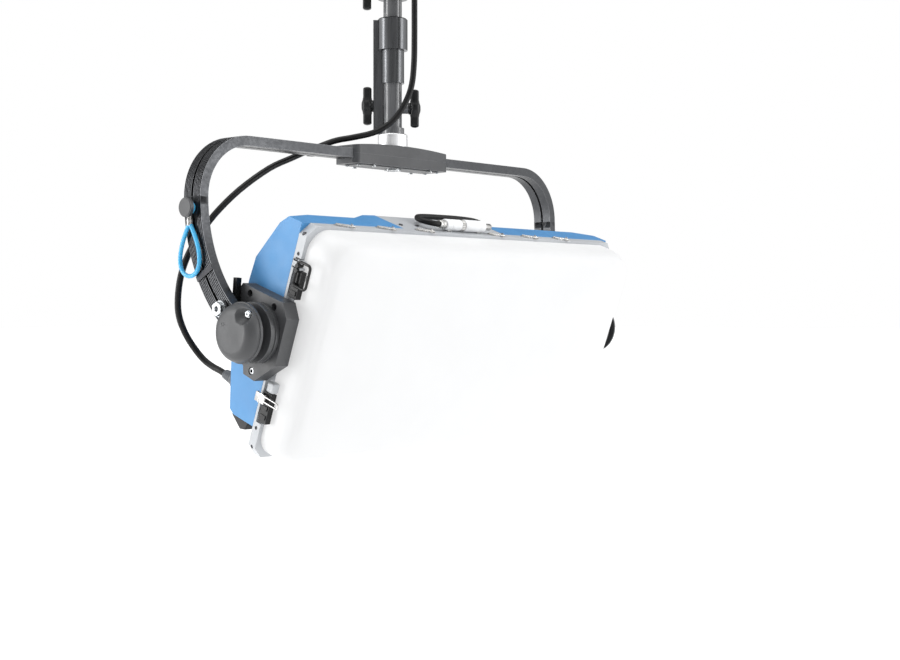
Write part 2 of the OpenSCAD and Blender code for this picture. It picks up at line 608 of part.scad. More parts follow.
// Black rails in the let-in sides of the frame
rails_z = [[56, 93], [-118, -76]];
module accessory_rails() color("#232426") at_head() both_sides() for (z = rails_z)
    translate([-side - 3, frame_front - 11, z[0]]) {
        cube([8.8, 15, z[1] - z[0]]);
        for (k = [0.2, 0.5]) translate([-1.5, 2, k * (z[1] - z[0]) - 3]) cube([1.6, 11, 6]);
    }
clip_x = [-268, -190, -112, 44, 122, 200];
module frame_clips() color("#d0d1d4") at_head() {
    for (x = clip_x) translate([x, frame_front + 5, top_z + 0.05]) rotate([0, 0, -22]) {
        translate([-15, -3, 0]) cube([30, 6, 3.2]);
        translate([8, -4, 0]) cube([8, 8, 5.5]);
    }
    both_sides() {
        // upper block that carries the latch ring
        difference() {
            translate([-side - 4, frame_front - 7, 94]) cube([9.8, 17, 13]);
            translate([0, latch_y, latch_z]) rod_x(latch_pin + fit, -side - 20, -side + 4);
        }
        // lower bracket with a tab that points forward, and the block above it
        translate([-side - 9, frame_front - 4, -92]) cube([5.9, 18, 13]);
        translate([-side - 9, frame_front - 32, -83]) cube([2.4, 28.1, 4]);
        translate([-side - 6, frame_front - 13, -74]) cube([11.8, 13, 14]);
    }
}
latch_y = frame_front - 4;
latch_z = 100;
latch_pin = 2;
module latch_ring() color("#1d1e20") {
    translate([-side - 9, latch_y - 26, latch_z - 28]) difference() {
        cube([4.4, 28.5, 37]);
        translate([-1, 5, 5.5]) cube([8, 18.5, 26]);
    }
    translate([0, latch_y, latch_z]) rod_x(latch_pin, -side - 5, -side + 3);
}
module latch_ring_left() at_head() latch_ring();
module latch_ring_right() at_head() mirror([1, 0, 0]) latch_ring();

module power_supply() color("#8f9195") at_head() difference() {
    union() {
        translate([100, 31, -108]) cube([150, 15, 42]);
        translate([-250, 31, -108]) cube([150, 2, 42]);
        for (x = [-235:30:-120]) translate([x, 33, -100]) cube([16, 10, 26]);
    }
    for (x = [110:10:240]) translate([x, 43, -102]) cube([4, 5, 30]);
}
module fan_frames() color("#2a2b2d") at_head() for (x = fan_x) translate([x, 0, fan_z]) {
    difference() {
        along_y(53, 65) square(80, center = true);
        rod_y(fan_r + 1.5, 50, 70);
    }
    rod_y(8, 53, 55);
    for (a = [45:90:315]) rotate([0, a, 0]) translate([7, 53, -2]) cube([fan_r - 5, 1.8, 4]);
}
module fan_rotor(x) color("#1b1c1e") at_head() translate([x, 0, fan_z]) {
    difference() {
        rod_y(14, 55.4, 65);
        rod_y(5, 55, 57);
    }
    for (a = [0:45:315]) rotate([0, a, 0]) translate([12, 60, 0]) rotate([32, 0, 0])
        translate([0, -0.8, -6]) cube([fan_r - 13, 1.6, 12]);
}

// Each control: x, z, radius
controls = [[panel_x + 30, panel_z + 16, 5], [panel_x + 30, panel_z - 16, 5],
    [panel_x + 56, panel_z + 16, 9], [panel_x + 56, panel_z - 16, 9]];
module control_panel() color("#1e1f22") at_head() difference() {
    translate([panel_x, 0, panel_z]) along_y(panel_y, panel_y + 3) round_rect(panel_w, panel_h, 6);
    translate([panel_x - 64, panel_y + 1.8, panel_z - 22]) cube([78, 3, 44]);
    for (b = controls) translate([b[0], 0, b[1]]) rod_y(b[2] + 0.08, panel_y - 5, panel_y + 5);
}
module button(b) color("#5a5c60") at_head() translate([b[0], 0, b[1]]) {
    rod_y(b[2], panel_y - 2, panel_y + 4.6);
    rod_y(b[2] - 2, panel_y - 4, panel_y - 1.9);
}
module knob(b) color("#3a3b3e") at_head() translate([b[0], 0, b[1]]) difference() {
    rod_y(b[2], panel_y - 2, panel_y + 13);
    for (a = [0:30:330]) rotate([0, a, 0]) translate([b[2] + 0.5, 0, 0])
        rod_y(1.1, panel_y + 4, panel_y + 15);
}

gland_x = -320;
gland_z = -93;
module cable_gland() color("#6a6c70") at_head() translate([gland_x, 0, gland_z]) difference() {
    union() {
        rod_y(9, 46, 58);
        rotate([-90, 0, 0]) translate([0, 0, 58]) cylinder(r = 10.5, h = 8, $fn = 6);
        translate([0, 66, 0]) rotate([-90, 0, 0]) cylinder(r1 = 8.6, r2 = 6, h = 20);
        rod_y(11, 46, 48);
    }
    rod_y(lead_d / 2 + 0.1, 40, 100);
}
module jumper_lead() color("#141415") at_head() sweep_tube(smooth_path(jumper, 2), 4, 8);
module jumper_plug() color("#dddee0") at_head() {
    translate(plug_at) difference() {
        union() {
            rod_x(6, -52, -40);
            rod_x(8, -40, -6);
            rod_x(7, -6, 0);
            rod_x(8.6, 0, 44);
            rod_x(5, 44, 60);
        }
        rod_x(4.02, -53, -46);
    }
    for (x = [-30, 34]) translate([plug_at.x + x - 5, plug_at.y - 5, top_z + 0.1]) cube([10, 10, 6]);
    translate([jumper_hole.x, jumper_hole.y, 0]) ring(8.8, 6.3, top_z - 0.4, top_z + 0.6);
}
module head_feet() color("#202123") at_head() both_sides()
    along_x(-326, -304) polygon([[12, -131.05], [35.5, -131.05], [45, -126.05], [48, -136], [26, -149],
        [16, -146]]);

lever_y = 50;
lever_z = 20;
module tilt_lock_lever() color("#1f2022") at_head() translate([0, lever_y, lever_z]) {
    rod_x(5.5, -bracket_out - 9, -bracket_out - 1);
    rotate([-14, 0, 0]) translate([-bracket_out - 9, -3.5, 0]) cube([8, 7, 36]);
    rod_x(3, -bracket_out - 1.1, -bracket_out + 10);
}

hanger_tube();
hanger_stud();
hanger_collar();
hanger_lock();
drop_tube();
lower_sleeve();
upper_sleeve();
guide_bar();
stop_collar();
cable_cradle();
lead_pole();
lead_coil();
coil_tie();
lead_plug();
lead_head();
stop_lock();
pan_lock_left();
pan_lock_right();
yoke_spigot();
clamp_upper();
clamp_lower();
clamp_screws();
front_rail();
rear_rail();
hub_discs();
hub_caps();
arm_bolts();
arm_bands();
loop_knob();
cable_clip();
safety_loop();
front_frame();
diffuser();
light_chamber();
led_board();
heat_sink();
left_housing();
right_housing();
centre_housing();
head_brackets();
tilt_shafts();
head_screws();
accessory_rails();
frame_clips();
power_supply();
fan_frames();
control_panel();
cable_gland();
jumper_lead();
jumper_plug();
head_feet();
fan_rotor(fan_x[0]);  // fan_rotor_left
fan_rotor(fan_x[1]);  // fan_rotor_right
latch_ring_left();
latch_ring_right();
tilt_lock_lever();
button(controls[0]);  // menu_button
button(controls[1]);  // back_button
knob(controls[2]);  // dimmer_knob
knob(controls[3]);  // colour_knob
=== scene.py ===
"""Soft panel light on a pole yoke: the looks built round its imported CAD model.

Each operator makes one piece or a group of like pieces. Profiles, blocks, routes, at() and names that end in
_mm are in millimetres, and every other length is in metres.
"""

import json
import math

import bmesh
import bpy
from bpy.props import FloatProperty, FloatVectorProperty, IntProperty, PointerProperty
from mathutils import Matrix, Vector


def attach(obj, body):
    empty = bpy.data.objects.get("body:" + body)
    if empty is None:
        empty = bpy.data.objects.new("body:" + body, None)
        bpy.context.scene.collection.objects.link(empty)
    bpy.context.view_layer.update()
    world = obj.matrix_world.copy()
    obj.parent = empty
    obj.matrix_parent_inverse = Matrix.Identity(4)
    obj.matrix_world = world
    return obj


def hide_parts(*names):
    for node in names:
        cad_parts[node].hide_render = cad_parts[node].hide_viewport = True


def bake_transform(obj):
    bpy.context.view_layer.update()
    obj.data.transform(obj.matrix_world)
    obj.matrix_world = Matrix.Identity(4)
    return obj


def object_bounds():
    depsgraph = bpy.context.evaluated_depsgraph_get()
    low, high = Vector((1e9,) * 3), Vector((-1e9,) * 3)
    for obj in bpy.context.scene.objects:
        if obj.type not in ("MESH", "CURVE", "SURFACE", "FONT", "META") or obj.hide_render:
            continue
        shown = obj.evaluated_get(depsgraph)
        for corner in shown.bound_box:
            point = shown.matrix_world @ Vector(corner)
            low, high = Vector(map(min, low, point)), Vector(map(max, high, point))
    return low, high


bl_info = {
    "name": "Soft Panel Light",
    "version": (1, 0, 0),
    "blender": (4, 5, 0),
    "location": "View3D > Sidebar > Soft Light",
    "description": "Builds a soft panel light's cords, handles, diffuser and finishes round its CAD model",
    "category": "Add Mesh",
}

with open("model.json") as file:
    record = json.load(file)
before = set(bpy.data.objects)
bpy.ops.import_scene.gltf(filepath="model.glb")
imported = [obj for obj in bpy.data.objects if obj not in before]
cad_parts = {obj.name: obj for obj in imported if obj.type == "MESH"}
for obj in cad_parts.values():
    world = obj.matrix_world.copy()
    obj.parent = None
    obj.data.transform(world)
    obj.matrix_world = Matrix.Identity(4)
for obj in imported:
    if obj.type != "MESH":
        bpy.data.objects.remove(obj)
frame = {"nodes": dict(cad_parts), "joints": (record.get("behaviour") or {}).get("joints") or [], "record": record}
CAD_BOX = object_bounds()
MM = 0.001

# ---------- placing, from the frame ----------
NODES = frame["nodes"]
JOINTS = {joint["name"]: joint for joint in frame["joints"]}
MOUNTS = {mount["name"]: mount for mount in frame["record"]["mounts"]}
HUB = Vector(JOINTS["head_tilt"]["pos_m"])
FACE = Vector(MOUNTS["accessory_face"]["axis"])
LOCK_AXIS = Vector(JOINTS["stop_lock_turn"]["axis"])
# Each placing has X across the light. In HEAD, -Y is the way the diffuser faces; BAR stands on the tilt
# axis's height.
HEAD = Matrix.Translation(HUB) @ Matrix.Rotation(math.atan2(-FACE.z, -FACE.y), 4, "X")
BAR = Matrix.Translation((0, 0, HUB.z))
POLE = BAR @ Matrix.Rotation(math.atan2(LOCK_AXIS.y, LOCK_AXIS.x), 4, "Z")
MIRROR = Matrix.Scale(-1, 4, (1, 0, 0))
BOTH_ENDS = (Matrix(), MIRROR)


def box_mm(node, place):
    """Lowest and highest corner of a CAD node in the axes of a placing, in millimetres."""
    back = place.inverted()
    points = [back @ vertex.co for vertex in NODES[node].data.vertices]
    low = Vector([min(point[i] for point in points) for i in range(3)])
    high = Vector([max(point[i] for point in points) for i in range(3)])
    return low / MM, high / MM


def at(x, y, z):
    """A move, from millimetres."""
    return Matrix.Translation(Vector((x, y, z)) * MM)


def turned(degrees, axis):
    return Matrix.Rotation(math.radians(degrees), 4, axis)


# ---------- colours and nodes ----------
def linear(code):
    """Linear colour with alpha 1, from an sRGB hex code."""
    parts = [int(code[i:i + 2], 16) / 255 for i in (1, 3, 5)]
    return [p / 12.92 if p <= 0.04045 else ((p + 0.055) / 1.055) ** 2.4 for p in parts] + [1.0]


def add_node(tree, kind, inputs=None, **settings):
    """Adds a node, with its settings, and sets or links its inputs by name or number."""
    made = tree.nodes.new(kind)
    for name, value in settings.items():
        setattr(made, name, value)
    for key, value in (inputs or {}).items():
        if isinstance(value, bpy.types.NodeSocket):
            tree.links.new(value, made.inputs[key])
        else:
            made.inputs[key].default_value = value
    return made


def start_material(name, **sockets):
    """A material with only its shader. An underscore in a socket's name stands for a space."""
    made = bpy.data.materials.new(name)
    made.use_nodes = True
    tree = made.node_tree
    tree.nodes.clear()
    values = {key.replace("_", " "): value for key, value in sockets.items()}
    shader = add_node(tree, "ShaderNodeBsdfPrincipled", values)
    add_node(tree, "ShaderNodeOutputMaterial", {"Surface": shader.outputs["BSDF"]})
    return made, tree, shader


def grain(tree, size_mm, stretch=(1, 1, 1), detail=2.0, roughness=0.5):
    """Noise from 0 to 1 whose grains are size_mm across, longer along an axis whose stretch is below 1."""
    place = add_node(tree, "ShaderNodeTexCoord").outputs["Object"]
    if tuple(stretch) != (1, 1, 1):
        place = add_node(tree, "ShaderNodeMapping", {"Vector": place, "Scale": stretch}).outputs["Vector"]
    inputs = {"Vector": place, "Scale": 1 / (size_mm * MM), "Detail": detail, "Roughness": roughness}
    return add_node(tree, "ShaderNodeTexNoise", inputs).outputs["Fac"]


def spread(tree, value, low, high, start=0.3, end=0.7):
    """Maps start..end of a pattern to low..high."""
    inputs = {"Value": value, "From Min": start, "From Max": end, "To Min": low, "To Max": high}
    return add_node(tree, "ShaderNodeMapRange", inputs).outputs["Result"]


def blend_colours(tree, factor, first, second):
    """From the first colour to the second as factor goes from 0 to 1; each is a hex code, linear or a
    socket."""
    first, second = (linear(colour) if isinstance(colour, str) else colour for colour in (first, second))
    inputs = {"Factor": factor, 6: first, 7: second}
    return add_node(tree, "ShaderNodeMix", inputs, data_type="RGBA").outputs[2]


def relief(tree, shader, height, depth_mm):
    """Bump whose full height is depth_mm."""
    inputs = {"Height": height, "Distance": depth_mm * MM, "Strength": 1.0}
    use(tree, shader, Normal=add_node(tree, "ShaderNodeBump", inputs).outputs["Normal"])


def edge_mask(tree, width_mm):
    """1 on outer edges that wear and 0 on flats."""
    rounded = add_node(tree, "ShaderNodeBevel", {"Radius": width_mm * MM}, samples=4).outputs["Normal"]
    flat = add_node(tree, "ShaderNodeNewGeometry").outputs["Normal"]
    inputs = {0: rounded, 1: flat}
    likeness = add_node(tree, "ShaderNodeVectorMath", inputs, operation="DOT_PRODUCT").outputs["Value"]
    return spread(tree, likeness, 1.0, 0.0, 0.90, 0.995)


def use(tree, shader, **links):
    """Links patterns to the shader's sockets."""
    for name, output in links.items():
        tree.links.new(output, shader.inputs[name.replace("_", " ")])


def finish(maker):
    """The material that a maker function makes, made once."""
    return bpy.data.materials.get(maker.__name__) or maker()


def coated(name, colour, deeper, worn, roughness, peel_mm, peel_depth_mm, **sockets):
    """Paint on metal: clouds of slightly deeper colour, an orange peel of peel_mm, and rubbed edges."""
    made, tree, shader = start_material(name, **sockets)
    clouds = blend_colours(tree, spread(tree, grain(tree, 60, detail=4), 0, 1), colour, deeper)
    fine = grain(tree, peel_mm, detail=3, roughness=0.6)
    flecked = blend_colours(tree, spread(tree, fine, 0, 0.35), clouds, deeper)
    inputs = {0: edge_mask(tree, 0.9), 1: spread(tree, grain(tree, 7), 0.1, 0.6)}
    rubbed = add_node(tree, "ShaderNodeMath", inputs, operation="MULTIPLY").outputs[0]
    use(tree, shader, Base_Color=blend_colours(tree, rubbed, flecked, worn),
        Roughness=spread(tree, grain(tree, 18, detail=5), roughness - 0.05, roughness + 0.07))
    relief(tree, shader, fine, peel_depth_mm)
    return made


def grained(name, size_mm, first, second, roughness, depth_mm=0.0, stretch=(1, 1, 1), detail=3, **sockets):
    """One grain that sets the colour, the roughness and, where depth_mm is given, the relief."""
    made, tree, shader = start_material(name, **sockets)
    pattern = grain(tree, size_mm, stretch, detail)
    use(tree, shader, Base_Color=blend_colours(tree, spread(tree, pattern, 0, 1), first, second),
        Roughness=spread(tree, pattern, *roughness))
    if depth_mm:
        relief(tree, shader, pattern, depth_mm)
    return made


# ---------- materials ----------
def blue_powder_coat():
    """Aluminium sheet, powder coated and baked: satin blue with a soft orange peel that breaks up the
    highlights."""
    housing = [*bpy.context.scene.soft_light_colours.housing, 1.0]
    return coated("blue_powder_coat", housing, "#3E7DB2", "#74A6D0", 0.42, 1.6, 0.035)


def silver_powder_coat():
    """Milled aluminium frame, powder coated pale silver: near white in light, cool grey where it turns
    away."""
    return coated("silver_powder_coat", "#B4B7BA", "#A8ABAF", "#DCDEE0", 0.34, 1.4, 0.02)


def satin_black_tube():
    """Drawn steel tube, powder coated and polished by sliding: long soft highlights and faint lengthwise
    rubbing."""
    return grained("satin_black_tube", 9, "#4A4B4D", "#565759", (0.24, 0.32), 0.004, stretch=(1, 1, 0.03),
                   Coat_Weight=0.6, Coat_Roughness=0.14)


def black_anodised_collar():
    """Turned aluminium, anodised black: a dark satin metal with long streaks of light and faint turning
    rings."""
    made, tree, shader = start_material("black_anodised_collar", Metallic=1.0)
    brushed = grain(tree, 4, stretch=(1, 1, 0.05), detail=4)
    rings = grain(tree, 1.5, stretch=(0.02, 0.02, 1), detail=2)
    use(tree, shader, Base_Color=blend_colours(tree, spread(tree, brushed, 0, 1), "#5A5B5D", "#646567"),
        Roughness=spread(tree, brushed, 0.24, 0.34))
    relief(tree, shader, rings, 0.002)
    return made


def black_anodised_extrusion():
    """Extruded and bent aluminium, anodised black: die lines along the rail, brighter on the corners."""
    made, tree, shader = start_material("black_anodised_extrusion", Metallic=1.0)
    lines = grain(tree, 1.2, stretch=(0.25, 1, 0.25), detail=3)
    clouds = blend_colours(tree, spread(tree, grain(tree, 40, detail=4), 0, 1), "#48494B", "#505153")
    drawn = blend_colours(tree, spread(tree, lines, 0, 0.5), clouds, "#3E3F41")
    use(tree, shader, Base_Color=blend_colours(tree, edge_mask(tree, 0.7), drawn, "#7A7B7E"),
        Roughness=spread(tree, lines, 0.3, 0.42))
    relief(tree, shader, lines, 0.02)
    return made


def textured_black_casting():
    """Die-cast aluminium under a fine textured black paint: matt, with a grit that shows as soft sparkle.
    The grit is really about 0.4 mm across and is drawn at 1.1 mm so that it shows."""
    return coated("textured_black_casting", "#3D3E40", "#353638", "#66686B", 0.42, 1.1, 0.05)


def glass_filled_nylon():
    """Moulded glass-filled nylon: deep black with a leathery mould grain and dull highlights."""
    return coated("glass_filled_nylon", "#0F1011", "#0B0C0D", "#2B2C2F", 0.34, 1.3, 0.04, IOR=1.4)


def rubber_sheath():
    """Extruded rubber lead: near black, one soft line of light, faint ripples and dusty handling marks."""
    made, tree, shader = start_material("rubber_sheath", IOR=1.32)
    dust = spread(tree, grain(tree, 22, detail=5, roughness=0.65), 0, 0.5, 0.45, 0.8)
    use(tree, shader, Base_Color=blend_colours(tree, dust, "#070708", "#161617"),
        Roughness=spread(tree, grain(tree, 9, detail=4), 0.34, 0.5))
    relief(tree, shader, grain(tree, 2.2, detail=3), 0.05)
    return made


def hook_and_loop_tape():
    """Woven nylon hook and loop tape: a nap of 0.9 mm tufts with a fuzzy edge light."""
    made, tree, shader = start_material("hook_and_loop_tape", Roughness=0.9, Sheen_Weight=0.5,
                                        Sheen_Roughness=0.6)
    tufts = grain(tree, 0.9, detail=4, roughness=0.7)
    use(tree, shader, Base_Color=blend_colours(tree, spread(tree, tufts, 0, 1), "#141416", "#303134"))
    relief(tree, shader, tufts, 0.25)
    return made


def moulded_plug_plastic():
    """Moulded polyamide plug: satin black with a spark-eroded grain."""
    return coated("moulded_plug_plastic", "#1D1E20", "#17181A", "#38393C", 0.36, 1.2, 0.03)


def turned_aluminium():
    """Lathe-turned aluminium, clear anodised: bright, with tool rings every 0.5 mm, drawn at 1 mm so that
    they show."""
    made, tree, shader = start_material("turned_aluminium", Metallic=1.0)
    rings = grain(tree, 1.0, stretch=(0.02, 0.02, 1), detail=2)
    use(tree, shader, Base_Color=blend_colours(tree, spread(tree, rings, 0, 1), "#E9EAEB", "#F4F4F5"),
        Roughness=spread(tree, grain(tree, 10, detail=4), 0.34, 0.44))
    relief(tree, shader, rings, 0.006)
    return made


def turned_steel():
    """Turned and polished steel stud: mid grey metal with rings and a few dull rubs from the clamp screw."""
    made, tree, shader = start_material("turned_steel", Metallic=1.0)
    rings = grain(tree, 1.2, stretch=(0.02, 0.02, 1), detail=3)
    rubs = spread(tree, grain(tree, 14, stretch=(1, 1, 0.3), detail=5), 0, 1, 0.5, 0.75)
    use(tree, shader, Base_Color=blend_colours(tree, rubs, "#B9BBBE", "#8E9094"),
        Roughness=spread(tree, rubs, 0.24, 0.45, 0, 1))
    relief(tree, shader, rings, 0.015)
    return made


def zinc_plated_steel():
    """Zinc plated fasteners: bright grey metal with a faint mottled bloom."""
    made, tree, shader = start_material("zinc_plated_steel", Metallic=1.0)
    bloom = grain(tree, 3, detail=5, roughness=0.6)
    use(tree, shader, Base_Color=blend_colours(tree, spread(tree, bloom, 0, 1), "#B9BBBC", "#9FA2A5"),
        Roughness=spread(tree, bloom, 0.18, 0.34))
    relief(tree, shader, grain(tree, 0.8), 0.006)
    return made


def black_oxide_steel():
    """Black oxide screws: dark metal with an oily half gloss and brighter rims."""
    made, tree, shader = start_material("black_oxide_steel", Metallic=0.8)
    film = grain(tree, 2.5, detail=4)
    dark = blend_colours(tree, spread(tree, film, 0, 1), "#2A2A2C", "#3B3B3E")
    use(tree, shader, Base_Color=blend_colours(tree, edge_mask(tree, 0.4), dark, "#6B6C70"),
        Roughness=spread(tree, film, 0.28, 0.42))
    return made


def blue_rope_sheath():
    """Wire rope in a clear blue sheath: bright blue, glossy, a little light passing through."""
    made, tree, shader = start_material("blue_rope_sheath", Coat_Weight=0.3, Coat_Roughness=0.2,
                                        Subsurface_Weight=0.15, Subsurface_Radius=(0.001, 0.002, 0.004))
    rope = [*bpy.context.scene.soft_light_colours.rope, 1.0]
    wear = spread(tree, grain(tree, 4, detail=4), 0, 0.6)
    use(tree, shader, Base_Color=blend_colours(tree, wear, rope, "#2392C4"),
        Roughness=spread(tree, wear, 0.25, 0.42, 0, 0.6))
    relief(tree, shader, grain(tree, 0.9), 0.03)
    return made


def opal_acrylic():
    """Opal acrylic, vacuum formed: an even milky white with a soft satin skin, and a painted glow that lifts it to
    near white.
    """
    # Painted light: this emission is a glow, set with the base colour, that brings the shell up to an even near
    # white
    made, tree, shader = start_material("opal_acrylic", Emission_Color=linear("#FFFFFF"),
                                        Emission_Strength=DIFFUSER_PAINTED_GLOW, Subsurface_Weight=0.3,
                                        Subsurface_Radius=(0.004, 0.004, 0.004))
    veil = grain(tree, 90, detail=3)
    use(tree, shader, Base_Color=blend_colours(tree, spread(tree, veil, 0, 1), "#8E8F90", "#8B8C8D"),
        Roughness=spread(tree, grain(tree, 25, detail=4), 0.4, 0.5))
    relief(tree, shader, grain(tree, 1.5, detail=2), 0.008)
    return made


def white_reflector():
    """Highly reflective white sheet: flat, bright, with a very fine pebble."""
    return grained("white_reflector", 1.0, "#F3F3F1", "#E9E9E6", (0.5, 0.62), 0.02)


def white_circuit_board():
    """Aluminium-backed circuit board: white solder mask with slightly raised copper runs every 17 mm."""
    made, tree, shader = start_material("white_circuit_board")
    place = add_node(tree, "ShaderNodeTexCoord").outputs["Object"]
    # A wave texture repeats every tau / 20 of its scale
    inputs = {"Vector": place, "Scale": math.tau / 20 / (17 * MM), "Distortion": 0.0}
    runs = add_node(tree, "ShaderNodeTexWave", inputs, bands_direction="X").outputs["Fac"]
    raised = spread(tree, runs, 0, 1, 0.4, 0.6)
    use(tree, shader, Base_Color=blend_colours(tree, raised, "#EDEBDD", "#DDD8BF"),
        Roughness=spread(tree, grain(tree, 6, detail=3), 0.35, 0.5))
    relief(tree, shader, raised, 0.03)
    return made


def extruded_heat_sink():
    """Raw extruded aluminium fins: soft grey metal with die lines."""
    return grained("extruded_heat_sink", 1.5, "#C4C6C8", "#AFB1B4", (0.35, 0.5), 0.02, stretch=(1, 1, 0.03),
                   Metallic=1.0)


def green_circuit_board():
    """Glass-epoxy board with green mask and pale parts: patches of two greens with a woven undertone."""
    made, tree, shader = start_material("green_circuit_board")
    weave = grain(tree, 1.6, stretch=(1, 1, 0.5), detail=2)
    patch = spread(tree, grain(tree, 12, detail=0), 0, 1, 0.49, 0.51)
    use(tree, shader, Base_Color=blend_colours(tree, patch, "#27583A", "#3A7350"),
        Roughness=spread(tree, weave, 0.3, 0.5))
    relief(tree, shader, weave, 0.03)
    return made


def moulded_fan_plastic():
    """Moulded fan plastic: dark grey, satin, with a fine mould grain."""
    return coated("moulded_fan_plastic", "#202123", "#1A1B1D", "#3A3C3F", 0.4, 1.2, 0.03)


def matt_panel_film():
    """Screen-printed polyester overlay: even matt black with a fine velvet grain."""
    return grained("matt_panel_film", 0.9, "#1B1C1F", "#232428", (0.5, 0.62), 0.01)


def display_glass():
    """Chemically hardened display window: deep blue-black, glossy, with faint wiping marks."""
    return grained("display_glass", 14, "#0B1018", "#101722", (0.06, 0.16), stretch=(0.25, 1, 1), detail=5,
                   IOR=1.52, Coat_Weight=0.5, Coat_Roughness=0.03)


def backlit_segments():
    """Backlit display segments: pale cyan light, a little uneven as real segments are."""
    made, tree, shader = start_material("backlit_segments", Roughness=0.5, Emission_Strength=0.8)
    glow = blend_colours(tree, spread(tree, grain(tree, 3), 0, 1), "#9FD8F2", "#C4E8F8")
    use(tree, shader, Base_Color=glow, Emission_Color=glow)
    return made


def grey_nylon():
    """Moulded nylon gland: mid grey, satin, with shallow sink marks."""
    return coated("grey_nylon", "#55585C", "#4A4D51", "#75787C", 0.4, 1.4, 0.05)


def satin_nickel():
    """Satin nickel plate: warm bright metal with a brushed haze."""
    return grained("satin_nickel", 1.4, "#C9C8C6", "#B3B2B0", (0.2, 0.34), 0.01, stretch=(0.08, 1, 1),
                   Metallic=1.0)


def white_connector_plastic():
    """Moulded white connector shell: clean off-white with a satin skin."""
    return coated("white_connector_plastic", "#E6E7E8", "#DADBDD", "#F4F4F4", 0.36, 1.5, 0.02)


def silicone_key():
    """Moulded silicone keys: mid grey rubber with a dry, dusty touch."""
    return grained("silicone_key", 1.5, "#5B5E62", "#66696D", (0.55, 0.7), 0.02, Sheen_Weight=0.15,
                   Sheen_Roughness=0.5)


def moulded_foot_rubber():
    """Moulded rubber feet: black, matt and scuffed grey where they rub."""
    made, tree, shader = start_material("moulded_foot_rubber")
    scuffs = spread(tree, grain(tree, 4, detail=5, roughness=0.7), 0, 1, 0.5, 0.8)
    use(tree, shader, Base_Color=blend_colours(tree, scuffs, "#161617", "#3A3A3B"),
        Roughness=spread(tree, scuffs, 0.55, 0.8, 0, 1))
    relief(tree, shader, grain(tree, 1.4, detail=3), 0.08)
    return made


def brass_pin():
    """Machined brass pins with a nickel flash: pale gold metal, lightly scored along their length."""
    return grained("brass_pin", 0.9, "#E3D3A0", "#CDB87E", (0.2, 0.34), stretch=(1, 0.08, 1), Metallic=1.0)


def pale_studio_floor():
    """Painted studio floor: matt off-white with the faintest roller marks."""
    return grained("pale_studio_floor", 240, "#FBFBFB", "#F8F8F8", (0.7, 0.8), stretch=(1, 0.3, 1), detail=4,
                   Emission_Color=linear("#FFFFFF"), Emission_Strength=FLOOR_GLOW)


# Strength of the painted glow that lifts the diffuser to an even near white, and of what the floor adds to reach
# white
DIFFUSER_PAINTED_GLOW = 0.52
FLOOR_GLOW = 0.3

# The finish of each CAD node that stays, with the rounding of its edges in millimetres
CAD_FINISHES = {
    "hanger": {
        "hanger_tube": (satin_black_tube, 0.5), "hanger_stud": (turned_steel, 0.5),
        "hanger_collar": (black_anodised_collar, 0.8), "drop_tube": (satin_black_tube, 0.6),
        "lower_sleeve": (black_anodised_collar, 0.6), "upper_sleeve": (black_anodised_collar, 0.6),
        "guide_bar": (black_anodised_collar, 0.5), "stop_collar": (black_anodised_collar, 0.8),
        "cable_cradle": (glass_filled_nylon, 0.5),
    },
    "yoke": {
        "yoke_spigot": (turned_aluminium, 0.6), "clamp_upper": (textured_black_casting, 3.0),
        "clamp_lower": (textured_black_casting, 2.2), "clamp_screws": (zinc_plated_steel, 0.25),
        "front_rail": (black_anodised_extrusion, 0), "rear_rail": (black_anodised_extrusion, 0),
        "hub_discs": (textured_black_casting, 0.5),
        "arm_bolts": (zinc_plated_steel, 0.4), "arm_bands": (black_oxide_steel, 0.3),
        "loop_knob": (textured_black_casting, 0.4), "cable_clip": (glass_filled_nylon, 0.5),
    },
    "head_shell": {
        "front_frame": (silver_powder_coat, 1.0), "left_housing": (blue_powder_coat, 1.6),
        "right_housing": (blue_powder_coat, 1.6), "centre_housing": (silver_powder_coat, 1.4),
        "head_feet": (moulded_foot_rubber, 1.2), "head_brackets": (textured_black_casting, 1.4),
        "tilt_shafts": (turned_steel, 0.3), "head_screws": (black_oxide_steel, 0.4),
    },
    "frame_fittings": {
        "accessory_rails": (glass_filled_nylon, 0.6), "tilt_lock_lever": (glass_filled_nylon, 1.2),
    },
    "light_engine": {
        "light_chamber": (white_reflector, 0.4), "led_board": (white_circuit_board, 0.3),
        "heat_sink": (extruded_heat_sink, 0.3), "power_supply": (green_circuit_board, 0.4),
    },
    "controls": {
        "control_panel": (matt_panel_film, 0.4), "menu_button": (silicone_key, 0.5),
        "back_button": (silicone_key, 0.5), "dimmer_knob": (matt_panel_film, 0.4),
        "colour_knob": (matt_panel_film, 0.4),
    },
    "fans": {"fan_frames": (moulded_fan_plastic, 0.5)},
}
WELD = 0.02 * MM
ROUNDING_ANGLE = math.radians(28)


